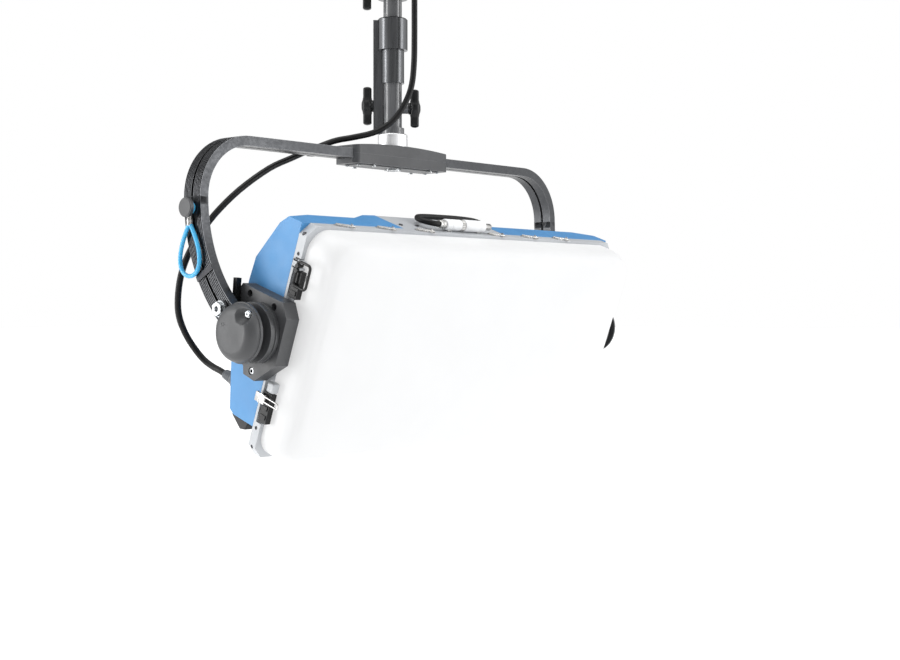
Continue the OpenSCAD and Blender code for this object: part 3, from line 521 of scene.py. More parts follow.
def smoothing_group():
    """Geometry nodes that join a CAD mesh's faces along their edges and shade it smooth up to
    ROUNDING_ANGLE."""
    made = bpy.data.node_groups.get("join_and_smooth")
    if made is not None:
        return made
    made = bpy.data.node_groups.new("join_and_smooth", "GeometryNodeTree")
    made.interface.new_socket("Geometry", in_out="INPUT", socket_type="NodeSocketGeometry")
    made.interface.new_socket("Geometry", in_out="OUTPUT", socket_type="NodeSocketGeometry")
    start = add_node(made, "NodeGroupInput").outputs[0]
    inputs = {"Geometry": start, "Name": "custom_normal"}
    plain = add_node(made, "GeometryNodeRemoveAttribute", inputs).outputs[0]
    joined = add_node(made, "GeometryNodeMergeByDistance", {"Geometry": plain, "Distance": WELD}).outputs[0]
    soft = add_node(made, "GeometryNodeSetShadeSmooth", {"Geometry": joined}, domain="FACE").outputs[0]
    angle = add_node(made, "GeometryNodeInputMeshEdgeAngle").outputs["Unsigned Angle"]
    inputs = {"A": angle, "B": ROUNDING_ANGLE}
    gentle = add_node(made, "FunctionNodeCompare", inputs, operation="LESS_THAN").outputs[0]
    inputs = {"Geometry": soft, "Shade Smooth": gentle}
    done = add_node(made, "GeometryNodeSetShadeSmooth", inputs, domain="EDGE")
    add_node(made, "NodeGroupOutput", {0: done.outputs[0]})
    return made


def finish_nodes(group):
    """Gives the CAD nodes of a group their finish and rounds their edges, with modifiers alone."""
    for name, (maker, rounding_mm) in CAD_FINISHES[group].items():
        node = NODES[name]
        for slot in node.material_slots:
            slot.material = finish(maker)
        join = node.modifiers.new("join", "NODES")
        join.node_group = smoothing_group()
        if not rounding_mm:
            continue
        rounding = node.modifiers.new("rounding", "BEVEL")
        rounding.width = rounding_mm * MM
        rounding.segments = 2
        rounding.limit_method = "ANGLE"
        rounding.angle_limit = ROUNDING_ANGLE
        rounding.harden_normals = True
        rounding.miter_outer = "MITER_ARC"


# ---------- mesh making ----------
def rounded_rect(width, height, radius, per_corner=6):
    """Points of a rounded rectangle round the origin, anticlockwise from the lower right."""
    points = []
    for number, (sx, sy) in enumerate(((1, -1), (1, 1), (-1, 1), (-1, -1))):
        for step in range(per_corner + 1):
            angle = math.radians(-90 + 90 * number + 90 * step / per_corner)
            points.append((sx * (width / 2 - radius) + radius * math.cos(angle),
                           sy * (height / 2 - radius) + radius * math.sin(angle)))
    return points


def circle(radius, count):
    """Points of a circle round the origin."""
    angles = [math.tau * step / count for step in range(count)]
    return [(radius * math.cos(angle), radius * math.sin(angle)) for angle in angles]


def superellipse(a, b, power, count):
    """Points of a rounded square section with half widths a and b."""
    points = []
    for step in range(count):
        c, s = math.cos(math.tau * step / count), math.sin(math.tau * step / count)
        points.append((a * math.copysign(abs(c) ** (2 / power), c),
                       b * math.copysign(abs(s) ** (2 / power), s)))
    return points


def loft(bm, rings, close_ends=True, close_loop=False):
    """Skins rings of points that have the same count, with flat ends or joined into a loop."""
    rows = [[bm.verts.new(point) for point in ring] for ring in rings]
    count = len(rows[0])
    pairs = list(zip(rows, rows[1:])) + ([(rows[-1], rows[0])] if close_loop else [])
    for low, high in pairs:
        for i in range(count):
            j = (i + 1) % count
            bm.faces.new((low[i], low[j], high[j], high[i]))
    if close_ends and not close_loop:
        bm.faces.new(rows[0][::-1])
        bm.faces.new(rows[-1])
    return bm


def lathe(bm, profile_mm, place=Matrix(), sides=40, lobes=0, lobe_mm=0.0):
    """Turns a profile of (radius, height) round Z; lobes make a grip of that many ridges."""
    rings = []
    for radius, height in profile_mm:
        ring = []
        for step in range(sides):
            angle = math.tau * step / sides
            r = radius + (lobe_mm * math.cos(lobes * angle) if lobes else 0.0)
            ring.append(place @ (Vector((r * math.cos(angle), r * math.sin(angle), height)) * MM))
        rings.append(ring)
    return loft(bm, rings)


def frames_along(path):
    """A direction and two square axes at each point, turned as little as they can be."""
    made = []
    side = Vector((0.3, 1.0, 0.2))
    for i, _ in enumerate(path):
        ahead = (path[min(i + 1, len(path) - 1)] - path[max(i - 1, 0)]).normalized()
        side = (side - side.dot(ahead) * ahead).normalized()
        made.append((ahead, side, ahead.cross(side)))
    return made


def tube(bm, path, radius, sides=16, strands=0, lay_length=1.0, groove=0.0, close_loop=False):
    """A round tube along a path; strands give it the twisted surface of rope, one turn in lay_length."""
    rings = []
    run = 0.0
    for i, (point, (_, side, up)) in enumerate(zip(path, frames_along(path))):
        run += (point - path[i - 1]).length if i else 0.0
        ring = []
        for step in range(sides):
            angle = math.tau * step / sides
            twist = math.cos(strands * (angle - math.tau * run / lay_length)) if strands else 0.0
            reach = radius - groove * (0.5 - 0.5 * twist)
            ring.append(point + reach * (math.cos(angle) * side + math.sin(angle) * up))
        rings.append(ring)
    return loft(bm, rings, close_loop=close_loop)


def block(bm, low_mm, high_mm, round_mm, place=Matrix(), segments=2):
    """A box with rounded edges, between two corners."""
    size = Vector(high_mm) - Vector(low_mm)
    middle = (Vector(high_mm) + Vector(low_mm)) / 2
    matrix = place @ Matrix.Translation(middle * MM) @ Matrix.Diagonal((*(size * MM), 1))
    made = bmesh.ops.create_cube(bm, size=1.0, matrix=matrix)
    edges = list(dict.fromkeys(edge for vertex in made["verts"] for edge in vertex.link_edges))
    bmesh.ops.bevel(bm, geom=edges, offset=round_mm * MM, segments=segments, profile=0.5, affect="EDGES")
    return bm


def smooth_path(points, steps):
    """A smooth curve through points, with steps places between each pair."""
    points = [Vector(point) for point in points]
    last = len(points) - 1
    path = []
    for i in range(last):
        a, b, c, d = (points[max(i - 1, 0)], points[i], points[i + 1], points[min(i + 2, last)])
        for step in range(steps):
            t = step / steps
            path.append(0.5 * (2 * b + (c - a) * t + (2 * a - 5 * b + 4 * c - d) * t * t
                               + (3 * b - a - 3 * c + d) * t ** 3))
    return path + [points[last]]


def make_piece(name, bm, maker, body=None, place=None, sharp=34.0):
    """Makes a bmesh a piece of the object: its finish and the body that it rides on."""
    bmesh.ops.recalc_face_normals(bm, faces=bm.faces)
    mesh = bpy.data.meshes.new(name)
    bm.to_mesh(mesh)
    bm.free()
    if place is not None:
        mesh.transform(place)
    mesh.polygons.foreach_set("use_smooth", [True] * len(mesh.polygons))
    mesh.set_sharp_from_angle(angle=math.radians(sharp))
    mesh.materials.append(finish(maker))
    made = bpy.data.objects.new(name, mesh)
    bpy.context.scene.collection.objects.link(made)
    if body is not None:
        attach(made, body)
    return made


# ---------- cords: routes in millimetres from the pole axis, heights above the tilt axis ----------
LEAD_UP = [(-150, 25, 262), (-125, 26, 271), (-103, 17, 280), (-84, 0, 285), (-62, -18, 292),
           (-45, -30, 303), (-31, -38, 318), (-18, -44, 340), (-9, -48, 366), (-6, -50, 400),
           (-5, -50, 440), (-5, -50, 475)]
LEAD_DOWN = [(-320, 2, -61), (-320, 12, -58), (-320, 22, -54), (-321, 36, -49), (-325, 50, -40),
             (-332, 61, -25), (-342, 69, -4), (-350, 73, 20), (-352, 73, 45), (-350, 69, 76),
             (-343, 62, 105), (-330, 56, 130), (-306, 50, 162), (-268, 42, 198), (-220, 34, 231),
             (-184, 27, 248), (-151, 25, 262)]
# In the head's own axes
JUMPER = [(-68, -4, 162), (-76, -4, 162), (-86, 0, 162), (-91.5, 9, 161.5), (-91.5, 19, 161),
          (-86, 28, 161), (-76, 33, 161), (-55, 36, 161), (-25, 37, 161), (5, 37, 161), (32, 36, 160.5),
          (48, 34.5, 159.5), (58, 32, 157.5), (64, 30.4, 153.5), (65.5, 30, 146)]
JUMPER_RADIUS = 4 * MM
# Where the lead climbs into the coil, in degrees and millimetres round the pole, and the radius of its bend
ENTRY_ANGLE = -95.7
ENTRY_RADIUS = 50.25
ENTRY_BEND = 40.0
# Degrees of a turn that stay in one lane, and degrees in which it crosses to the next; together one full turn
TURN = 320.0
CROSSING = 40.0
FINE_DEGREES = 6
COIL_LAYERS = 3
# The plug's middle round the pole, the distance to its rear, its turn and the bend of the lead's tail
PLUG_SPOT = (52, 8)
PLUG_REAR = 44.0
PLUG_TURN = math.radians(6)
TAIL_BEND = 36.0
# Inner radius of the strap that ties the coil
TIE_INNER = 40.1

# ---------- sizes of the made pieces, in millimetres ----------
ROPE_DIAMETER = 6.0
# The loop's crimped top below the knob, half the gap there, and the radius of the eye on the stem
ROPE_TOP = -23.0
ROPE_LEG = 1.6
EYE_RADIUS = 6.4
CAP_DEPTH = 20.0
COVER_DEPTH = 3.5
# Shares of the diffuser's depth, width and height, and the corner radius there
DIFFUSER_ROWS = [(0, 1, 1, 30), (0.4, 1, 0.998, 31), (0.66, 0.993, 0.984, 36),
                 (0.83, 0.972, 0.942, 44), (0.93, 0.91, 0.84, 58), (1, 0.64, 0.48, 56)]
DIFFUSER_WALL = 2.5
DIFFUSER_SPIGOT = 4.1
CORNER_STEPS = 10
SIDE_POINTS = 14
# Middles of the lever clips along the frame's top edge, and their turn in degrees
CLIP_X = (-268, -190, -112, 44, 122, 200)
CLIP_TURN = -22
GUARD_WIRE = 0.7 * MM
LED_PITCH = (32, 34)
THREAD_PITCH = 1.25

# ---------- camera and stage ----------
LENS_MM = 57.625
SENSOR_MM = 36.0
CAMERA_PLACE = (-1.5934, -1.5227, -0.7292)
CAMERA_TURN = (math.radians(89.1584), 0, math.radians(-48.573))
FLOOR_HEIGHT = CAD_BOX[0].z - 0.75
SURROUND = 0.8
# Direction, cosine at the panel's edge and where it is full, and how much it adds
PANELS = [
    ((0.72, -0.69, 0.1), 0.6, 0.9, 0.9),
    ((-0.6, 0.8, 0.0), 0.8, 0.96, 0.8),
    ((0.9, 0.45, 0.0), 0.3, 0.8, -0.6),
    ((-0.72, -0.69, -0.1), 0.6, 0.95, -0.45),
    ((0.0, 0.0, 1.0), 0.5, 0.9, 0.5),
]
# Name, place, width and height, and power of each soft box
SOFT_BOXES = [
    ("strip_box_left", (-2.2, 1.4, -0.3), (0.55, 2.4), 34.0),
    ("strip_box_right", (1.3, -2.2, -0.3), (0.4, 2.2), 16.0),
    ("soft_box_top", (-0.4, -0.4, 2.2), (2.2, 1.6), 30.0),
]


def polar(angle, radius, height):
    """A point round the pole axis, from degrees and millimetres."""
    return Vector((radius * math.cos(math.radians(angle)), radius * math.sin(math.radians(angle)), height))


def ease(value):
    value = min(max(value, 0.0), 1.0)
    return value * value * (3 - 2 * value)


def coil_path(lead_mm):
    """The lead's bend into the coil, its turns in two lanes and three layers, and its tail to the plug."""
    low, high = box_mm("lead_coil", BAR)
    outer = high.x - lead_mm / 2
    inner = outer - lead_mm
    layers = [low.z + lead_mm * (number + 0.5) for number in range(COIL_LAYERS)]
    points = []
    for degrees in range(0, 90, 9):
        bend = math.radians(degrees)
        angle = ENTRY_ANGLE + math.degrees(ENTRY_BEND * (1 - math.cos(bend)) / ENTRY_RADIUS)
        radius = ENTRY_RADIUS + (outer - ENTRY_RADIUS) * ease(degrees / 60)
        points.append(polar(angle, radius, layers[0] - ENTRY_BEND * (1 - math.sin(bend))))
    begin = ENTRY_ANGLE + math.degrees(ENTRY_BEND / ENTRY_RADIUS)
    # Lane and layer of each stretch, one turn each less its crossing: out, in, up, out, up, in
    stops = [(outer, layers[0]), (inner, layers[0]), (inner, layers[1]), (outer, layers[1]),
             (outer, layers[2]), (inner, layers[2])]
    angle = 250.0
    marks = [(begin, *stops[0]), (angle, *stops[0])]
    for number, stop in enumerate(stops[1:], start=1):
        marks.append((angle + CROSSING, *stop))
        angle += TURN if number < len(stops) - 1 else 60.0
        marks.append((angle, *stop))
    for (a0, r0, z0), (a1, r1, z1) in zip(marks, marks[1:]):
        count = max(2, round((a1 - a0) / FINE_DEGREES))
        for step in range(count):
            t = step / count
            points.append(polar(a0 + (a1 - a0) * t, r0 + (r1 - r0) * ease(t), z0 + (z1 - z0) * ease(t)))
    return points, marks[-1]


def tail_path(start, plug_rear, heading):
    """From the coil's last turn, up over its outer lane and round to the plug's rear."""
    angle, radius, height = start
    ahead = Vector((math.cos(heading), math.sin(heading), 0))
    centre = plug_rear + TAIL_BEND * Vector((-ahead.y, ahead.x, 0))
    leave = polar(angle, radius, height)
    reach = Vector((centre.x, centre.y, 0)).length
    # The straight run that leaves the lane along its tangent and meets the bend along the bend's tangent
    straight = math.sqrt(reach ** 2 - (radius - TAIL_BEND) ** 2)
    turn = math.atan2(centre.y, centre.x) - math.atan2(straight, radius - TAIL_BEND)
    points = []
    span = (math.degrees(turn) - angle) % 360
    total = span + math.degrees(straight / radius)
    count = round(span / FINE_DEGREES)
    for step in range(count):
        t = step / count
        climb = ease(t * span / total)
        points.append(polar(angle + span * t, radius, leave.z + (plug_rear.z - leave.z) * climb))
    corner = polar(math.degrees(turn), radius, 0)
    tangent = Vector((-math.sin(turn), math.cos(turn), 0))
    for step in range(12):
        t = step / 12
        climb = ease((span + (total - span) * t) / total)
        rise = Vector((0, 0, leave.z + (plug_rear.z - leave.z) * climb))
        points.append(corner + tangent * straight * t + rise)
    sweep = (heading - (turn + math.pi / 2)) % math.tau
    for step in range(13):
        facing = turn + math.pi / 2 + sweep * step / 12
        points.append(centre + TAIL_BEND * Vector((math.sin(facing), -math.cos(facing), 0)))
    return points


def to_row(points, place):
    return [place @ (Vector(point) * MM) for point in points]


class SoftLightSizes(bpy.types.PropertyGroup):
    """Sizes of the pieces that are made here and not in CAD."""
    lead_diameter: FloatProperty(name="Lead diameter", description="Diameter of the mains lead",
                                 default=0.009, min=0.008, max=0.009, unit="LENGTH")
    rope_strands: IntProperty(name="Rope strands", description="Strands that show in the safety loop",
                              default=6, min=3, max=12)
    fan_blades: IntProperty(name="Fan blades", description="Blades on each fan rotor",
                            default=7, min=5, max=11)


class SoftLightColours(bpy.types.PropertyGroup):
    """Colours that a user would change."""
    housing: FloatVectorProperty(name="Housing", description="Powder coat of the housing's two ends",
                                 subtype="COLOR", default=linear("#4587BC")[:3], min=0, max=1)
    rope: FloatVectorProperty(name="Safety loop", description="Sheath of the safety loop",
                              subtype="COLOR", default=linear("#35A6D6")[:3], min=0, max=1)


def sizes():
    return bpy.context.scene.soft_light_sizes


class SOFTLIGHT_OT_camera(bpy.types.Operator):
    """Sets the camera at the left front of the light, level with its tilt axis"""
    bl_idname = "soft_light.camera"
    bl_label = "Camera"

    def execute(self, context):
        data = bpy.data.cameras.new("camera")
        camera = bpy.data.objects.new("camera", data)
        context.scene.collection.objects.link(camera)
        data.lens = LENS_MM
        data.sensor_width = SENSOR_MM
        camera.location = CAMERA_PLACE
        camera.rotation_euler = CAMERA_TURN
        context.scene.camera = camera
        return {"FINISHED"}


class SOFTLIGHT_OT_mains_lead(bpy.types.Operator):
    """Makes the mains lead in its two lengths: gland to clip, and clip to coil and plug"""
    bl_idname = "soft_light.mains_lead"
    bl_label = "Mains Lead"

    def execute(self, context):
        thick = sizes().lead_diameter
        low, high = box_mm("lead_plug", BAR)
        heading = math.radians(90) + PLUG_TURN
        # The plug lies on the coil and is as long as its CAD node; its rear takes the lead's end
        plug_middle = Vector((*PLUG_SPOT, (low.z + high.z) / 2))
        rear = plug_middle - PLUG_REAR * Vector((math.cos(heading), math.sin(heading), 0))
        coil, last = coil_path(thick / MM)
        tail = tail_path(last, rear, heading)
        up = to_row(smooth_path(LEAD_UP, 4)[:-1] + coil + tail, BAR)
        down = to_row(smooth_path(LEAD_DOWN, 4), BAR)

        lead = make_piece("lead_to_head", tube(bmesh.new(), down, thick / 2), rubber_sheath)
        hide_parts("lead_head")
        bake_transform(lead)
        boot = self.gland(thick)

        pole = make_piece("lead_to_plug", tube(bmesh.new(), up, thick / 2), rubber_sheath)
        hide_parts("lead_pole", "lead_coil")
        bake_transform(pole)
        pieces = self.plug(plug_middle) + [self.tie()]
        return {"FINISHED"}

    def gland(self, thick):
        """A hexagon gland with a ribbed, tapered bend relief"""
        low, high = box_mm("cable_gland", HEAD)
        place = HEAD @ at((low.x + high.x) / 2, 0, (low.z + high.z) / 2) @ turned(-90, "X")
        bm = bmesh.new()
        bore = thick / MM / 2 + 0.15
        lathe(bm, [(bore, low.y), (9, low.y), (9, low.y + 11.5), (bore, low.y + 11.5)], place)
        nut = low.y + 12
        lathe(bm, [(bore, nut), (9.2, nut), (10.4, nut + 0.8), (10.4, nut + 7), (9.2, nut + 8),
                   (bore, nut + 8)], place, sides=6)
        profile = [(bore, nut + 7.9), (8.6, nut + 7.9)]
        ribs = 5
        run = (high.y - nut - 8) / ribs
        for rib in range(ribs):
            base = nut + 8 + rib * run
            radius = 8.6 - 2.4 * rib / ribs
            profile += [(radius, base + 0.2 * run), (radius, base + 0.55 * run),
                        (radius - 1.1, base + 0.7 * run), (radius - 1.1, base + 0.95 * run)]
        profile += [(6.0, high.y - 0.6), (5.4, high.y), (bore, high.y)]
        lathe(bm, profile, place, sides=32)
        boot = make_piece("gland_and_bend_relief", bm, grey_nylon, "head")
        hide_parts("cable_gland")
        return boot

    def plug(self, middle):
        """A moulded plug with grip ribs, a ribbed neck and three pins in its collar"""
        place = BAR @ Matrix.Translation(middle * MM) @ Matrix.Rotation(PLUG_TURN, 4, "Z") @ turned(-90, "X")
        bm = bmesh.new()
        neck = [(4.6, -46), (6.2, -46)]
        for rib in range(4):
            base = -46 + 4 * rib
            neck += [(7.0, base + 0.6), (7.0, base + 2.6), (5.9, base + 3.2), (5.9, base + 4)]
        lathe(bm, neck + [(7, -29.5), (4.6, -29.5)], place, sides=32)
        lathe(bm, [(6, -30), (11, -30), (13.2, -27), (13.4, -20), (12.6, -14), (12.6, 4), (13.6, 8),
                   (13.9, 12), (13.9, 22), (12.8, 24), (9, 24)], place, sides=72, lobes=18, lobe_mm=0.3)
        lathe(bm, [(8.8, 23.5), (10.4, 23.5), (10.4, 33.4), (9.8, 34), (8.8, 34), (8.8, 25)], place, sides=40)
        body = make_piece("plug_body", bm, moulded_plug_plastic, "drop_tube")
        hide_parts("lead_plug")
        bm = bmesh.new()
        for number in range(3):
            spot = turned(120 * number + 90, "Z") @ at(4.6, 0, 0)
            lathe(bm, [(1.6, 22), (1.6, 31), (1.1, 32), (0.4, 32.2)], place @ spot, sides=16)
        return [body, make_piece("plug_pins", bm, brass_pin, "drop_tube")]

    def tie(self):
        """A hook and loop strap round the coil's turns, with its free end folded over"""
        low, high = box_mm("lead_coil", BAR)
        width, height = high.x + 0.9 - TIE_INNER, high.z - low.z + 1.8
        place = BAR @ turned(100, "Z") @ at(TIE_INNER + width / 2, 0, (low.z + high.z) / 2)
        outline = rounded_rect(width, height, 4)
        rings = []
        for side, inset in ((-7.8, 0.0), (7.8, 0.0), (7.8, 1.3), (-7.8, 1.3)):
            scale = (1 - 2 * inset / width, 1 - 2 * inset / height)
            rings.append(to_row([(x * scale[0], side, z * scale[1]) for x, z in outline], place))
        bm = loft(bmesh.new(), rings, close_loop=True)
        block(bm, (width / 2 - 0.2, -7.2, -8), (width / 2 + 1.3, 7.2, 9), 0.5, place)
        strap = make_piece("coil_tie_strap", bm, hook_and_loop_tape, "drop_tube")
        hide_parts("coil_tie")
        return strap


class SOFTLIGHT_OT_safety_loop(bpy.types.Operator):
    """Makes the sheathed rope loop, its eye on the knob's stem and its crimped ferrules"""
    bl_idname = "soft_light.safety_loop"
    bl_label = "Safety Loop"

    def execute(self, context):
        low, high = box_mm("safety_loop", BAR)
        pivot = Vector(JOINTS["loop_swing"]["pos_m"])
        place = Matrix.Translation(pivot)
        pivot_bar = (BAR.inverted() @ pivot) / MM
        rope = ROPE_DIAMETER
        loop_radius = (high.y - low.y - rope) / 2
        bottom = low.z - pivot_bar.z + rope / 2
        path = []
        # Down one side as a V that opens into a round bottom, and back up the other side
        for step in range(121):
            share = 1 - abs(step - 60) / 60
            across = ROPE_LEG * (1 - share) + loop_radius * math.sin(math.pi * share)
            drop = (ROPE_TOP - bottom) * math.sin(math.pi / 2 * share) ** 1.1
            side = math.copysign(across, 60 - step) if step != 60 else 0.0
            path.append(Vector((0, side, ROPE_TOP - drop)))
        row = to_row(path, place)
        bm = tube(bmesh.new(), row, rope / 2 * MM, sides=36, strands=sizes().rope_strands,
                  lay_length=0.028, groove=0.28 * MM)
        loop = make_piece("safety_rope", bm, blue_rope_sheath, "safety_loop")
        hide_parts("safety_loop")

        bm = bmesh.new()
        for shift in (-2.2, 2.2):
            ring = [(shift, y, z) for y, z in circle(EYE_RADIUS, 64)]
            tube(bm, to_row(ring, place), 2.0 * MM, sides=20, strands=4, lay_length=0.0134, groove=0.22 * MM,
                 close_loop=True)
        eye = make_piece("safety_rope_eye", bm, blue_rope_sheath, "safety_loop")
        bm = bmesh.new()
        lathe(bm, [(2.4, -24), (3.6, -24), (4.2, -23.3), (4.2, -21.5), (3.9, -21.2), (3.9, -19),
                   (4.2, -18.7), (4.2, -16.6), (3.9, -16.3), (3.9, -15), (3.4, -13.8), (2.9, -13.6),
                   (2.9, -8.4), (1, -8)], place)
        ferrule = make_piece("safety_rope_ferrules", bm, satin_nickel, "safety_loop")
        return {"FINISHED"}


class SOFTLIGHT_OT_lock_handles(bpy.types.Operator):
    """Makes the four moulded T-handles of the pole, each on its threaded steel screw"""
    bl_idname = "soft_light.lock_handles"
    bl_label = "Lock Handles"

    def execute(self, context):
        for node in ("hanger_lock", "stop_lock", "pan_lock_left", "pan_lock_right"):
            low, high = box_mm(node, POLE)
            to_right = node == "pan_lock_right"
            outward = high.x if to_right else -low.x
            tip = low.x if to_right else -high.x
            facing = Matrix() if to_right else turned(180, "Z")
            place = POLE @ at(0, 0, (low.z + high.z) / 2) @ facing
            grip = self.handle(outward, (high.z - low.z) / 2)
            handle = make_piece(node + "_handle", grip, glass_filled_nylon, node, place)
            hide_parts(node)
            screw = self.screw(tip, outward - 15)
            make_piece(node + "_screw", screw, zinc_plated_steel, node, place)
        return {"FINISHED"}

    def handle(self, outward, half):
        """The grip: a bar with round ends and a knuckled hub, on a stepped boss"""
        bm = bmesh.new()
        rings = []
        rounding = 3.2
        for step in range(49):
            height = half * math.sin(math.pi / 2 * (step - 24) / 24)
            beyond = max(0.0, abs(height) - (half - rounding)) / rounding
            shrink = max(0.25, math.sqrt(1 - min(beyond, 0.97) ** 2))
            hub = math.exp(-(height / 8.2) ** 4)
            knuckle = 0.7 * math.exp(-((abs(height) - 10.5) / 1.2) ** 2)
            across = (6.4 + 1.8 * hub + knuckle) * shrink
            deep = (6.4 + 3.0 * hub + knuckle) * shrink
            power = 3.6 - 1.3 * hub
            centre = outward - 8 + 0.8 * hub
            section = superellipse(across, deep, power, 28)
            rings.append(to_row([(centre + x, y, height) for x, y in section], Matrix()))
        loft(bm, rings)
        boss = turned(90, "Y")
        start = outward - 17.5
        lathe(bm, [(4.4, start), (8.2, start), (9, start + 0.8), (9, start + 3), (7.2, start + 4),
                   (6.6, start + 9)], boss, sides=40)
        lathe(bm, [(7.6, start + 3.2), (8.4, start + 4), (8.4, start + 6.4), (7.0, start + 7.4)], boss,
              sides=64, lobes=16, lobe_mm=0.35)
        return bm

    def screw(self, tip, end):
        """A threaded stud with a chamfered tip and a rolled thread"""
        profile = [(2.6, tip), (3.6, tip + 0.9)]
        height = tip + 1
        while height < end - THREAD_PITCH:
            profile += [(3.9, height), (3.9, height + 0.15), (3.35, height + 0.6), (3.35, height + 0.8)]
            height += THREAD_PITCH
        return lathe(bmesh.new(), profile + [(3.9, end)], turned(90, "Y"), sides=24)


class SOFTLIGHT_OT_hanger(bpy.types.Operator):
    """Finishes the telescopic hanger and drop tube"""
    bl_idname = "soft_light.hanger"
    bl_label = "Hanger and Drop Tube"

    def execute(self, context):
        finish_nodes("hanger")
        return {"FINISHED"}


class SOFTLIGHT_OT_yoke(bpy.types.Operator):
    """Finishes the yoke's rails, clamp casting and hubs, and adds the small fasteners"""
    bl_idname = "soft_light.yoke"
    bl_label = "Yoke"

    def execute(self, context):
        finish_nodes("yoke")
        under = box_mm("clamp_lower", BAR)[0].z
        bm = bmesh.new()
        for x in (-86, 86):
            for y in (-12, 12):
                socket_screw(bm, BAR @ at(x, y, under + 0.6) @ turned(180, "X"), 3.0, 1.8)
        make_piece("clamp_socket_screws", bm, zinc_plated_steel, "yoke")
        self.caps()
        return {"FINISHED"}

    def caps(self):
        """The left hub's domed cap with its round shoulder and scooped channel, and the right one's thin
        cover"""
        low, high = box_mm("hub_caps", Matrix.Translation(HUB))
        radius, depth = high.z, CAP_DEPTH
        dome = [(radius, 0), (radius, 3.2), (radius - 0.4, 3.6), (radius - 1.4, 3.8)]
        dome += [(24 + (radius - 25.6) * math.cos(a), 5 + (depth - 5) * math.sin(a))
                 for a in (math.pi / 2 * step / 16 for step in range(17))]
        dome += [(r, depth) for r in (22, 20, 18, 16, 14, 12, 10, 8, 6, 4, 2, 0.5)]
        place = Matrix.Translation(HUB) @ MIRROR @ at(-low.x - depth, 0, 0)
        rings = []
        for r, height in dome:
            ring = []
            for step in range(144):
                a = math.tau * step / 144
                y, z = r * math.cos(a), r * math.sin(a)
                out, across = (-0.69 * y + 0.72 * z), (0.72 * y + 0.69 * z)
                scoop = 7.5 + 1.2 * max(0.0, 29 - out) + (across / 10.5) ** 2 * 7
                ring.append(place @ (Vector((min(height, scoop) if out > 12 else height, y, z)) * MM))
            rings.append(ring)
        bm = loft(bmesh.new(), rings)
        hole = place @ at(depth - 0.3, 15, 11) @ turned(90, "Y")
        lathe(bm, [(2.2, 0), (3.0, 0), (3.0, 0.5), (2.4, 0.7), (2.2, 0.2)], hole, sides=28)
        thin = Matrix.Translation(HUB) @ turned(90, "Y")
        base = high.x - COVER_DEPTH
        lathe(bm, [(radius - 1, base), (radius, base), (radius, high.x - 1), (radius - 0.4, high.x - 0.3),
                   (radius - 1.2, high.x), (14, high.x), (13.4, high.x - 0.6), (0.5, high.x - 0.6)],
              thin, sides=96)
        caps = make_piece("hub_cap_domes", bm, textured_black_casting, "yoke", sharp=40)
        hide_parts("hub_caps")


def socket_screw(bm, place, radius, height):
    """A cap screw head with a hexagon socket, standing on Z = 0"""
    lathe(bm, [(radius * 0.5, -0.5), (radius, -0.5), (radius, height * 0.75), (radius * 0.86, height),
               (radius * 0.56, height)], place, sides=28)
    socket = ((radius * 0.57, height), (radius * 0.52, height * 0.9), (radius * 0.5, height * 0.3),
              (0.05, height * 0.25))
    loft(bm, [to_row([(x, y, h) for x, y in circle(r, 6)], place) for r, h in socket])


class SOFTLIGHT_OT_head_shell(bpy.types.Operator):
    """Finishes the housing, front frame and tilt brackets, and adds their screws"""
    bl_idname = "soft_light.head_shell"
    bl_label = "Head Shell"

    def execute(self, context):
        finish_nodes("head_shell")
        low, high = box_mm("centre_housing", HEAD)
        bm = bmesh.new()
        for x in (low.x + 9, high.x - 9):
            for z in (-58, -4, 50, 104):
                socket_screw(bm, HEAD @ at(x, high.y, z) @ turned(-90, "X"), 3.2, 1.7)
        for x in (low.x + 12, -100, 40):
            socket_screw(bm, HEAD @ at(x, 12, high.z), 3.0, 1.6)
        make_piece("housing_socket_screws", bm, black_oxide_steel, "head")
        bracket = box_mm("head_brackets", HEAD)[0].x
        bm = bmesh.new()
        for flip in BOTH_ENDS:
            socket_screw(bm, HEAD @ flip @ at(bracket + 2.2, -2.4, -52.7) @ turned(-90, "Y"), 4.4, 1.6)
        make_piece("bracket_socket_screws", bm, zinc_plated_steel, "head")
        return {"FINISHED"}


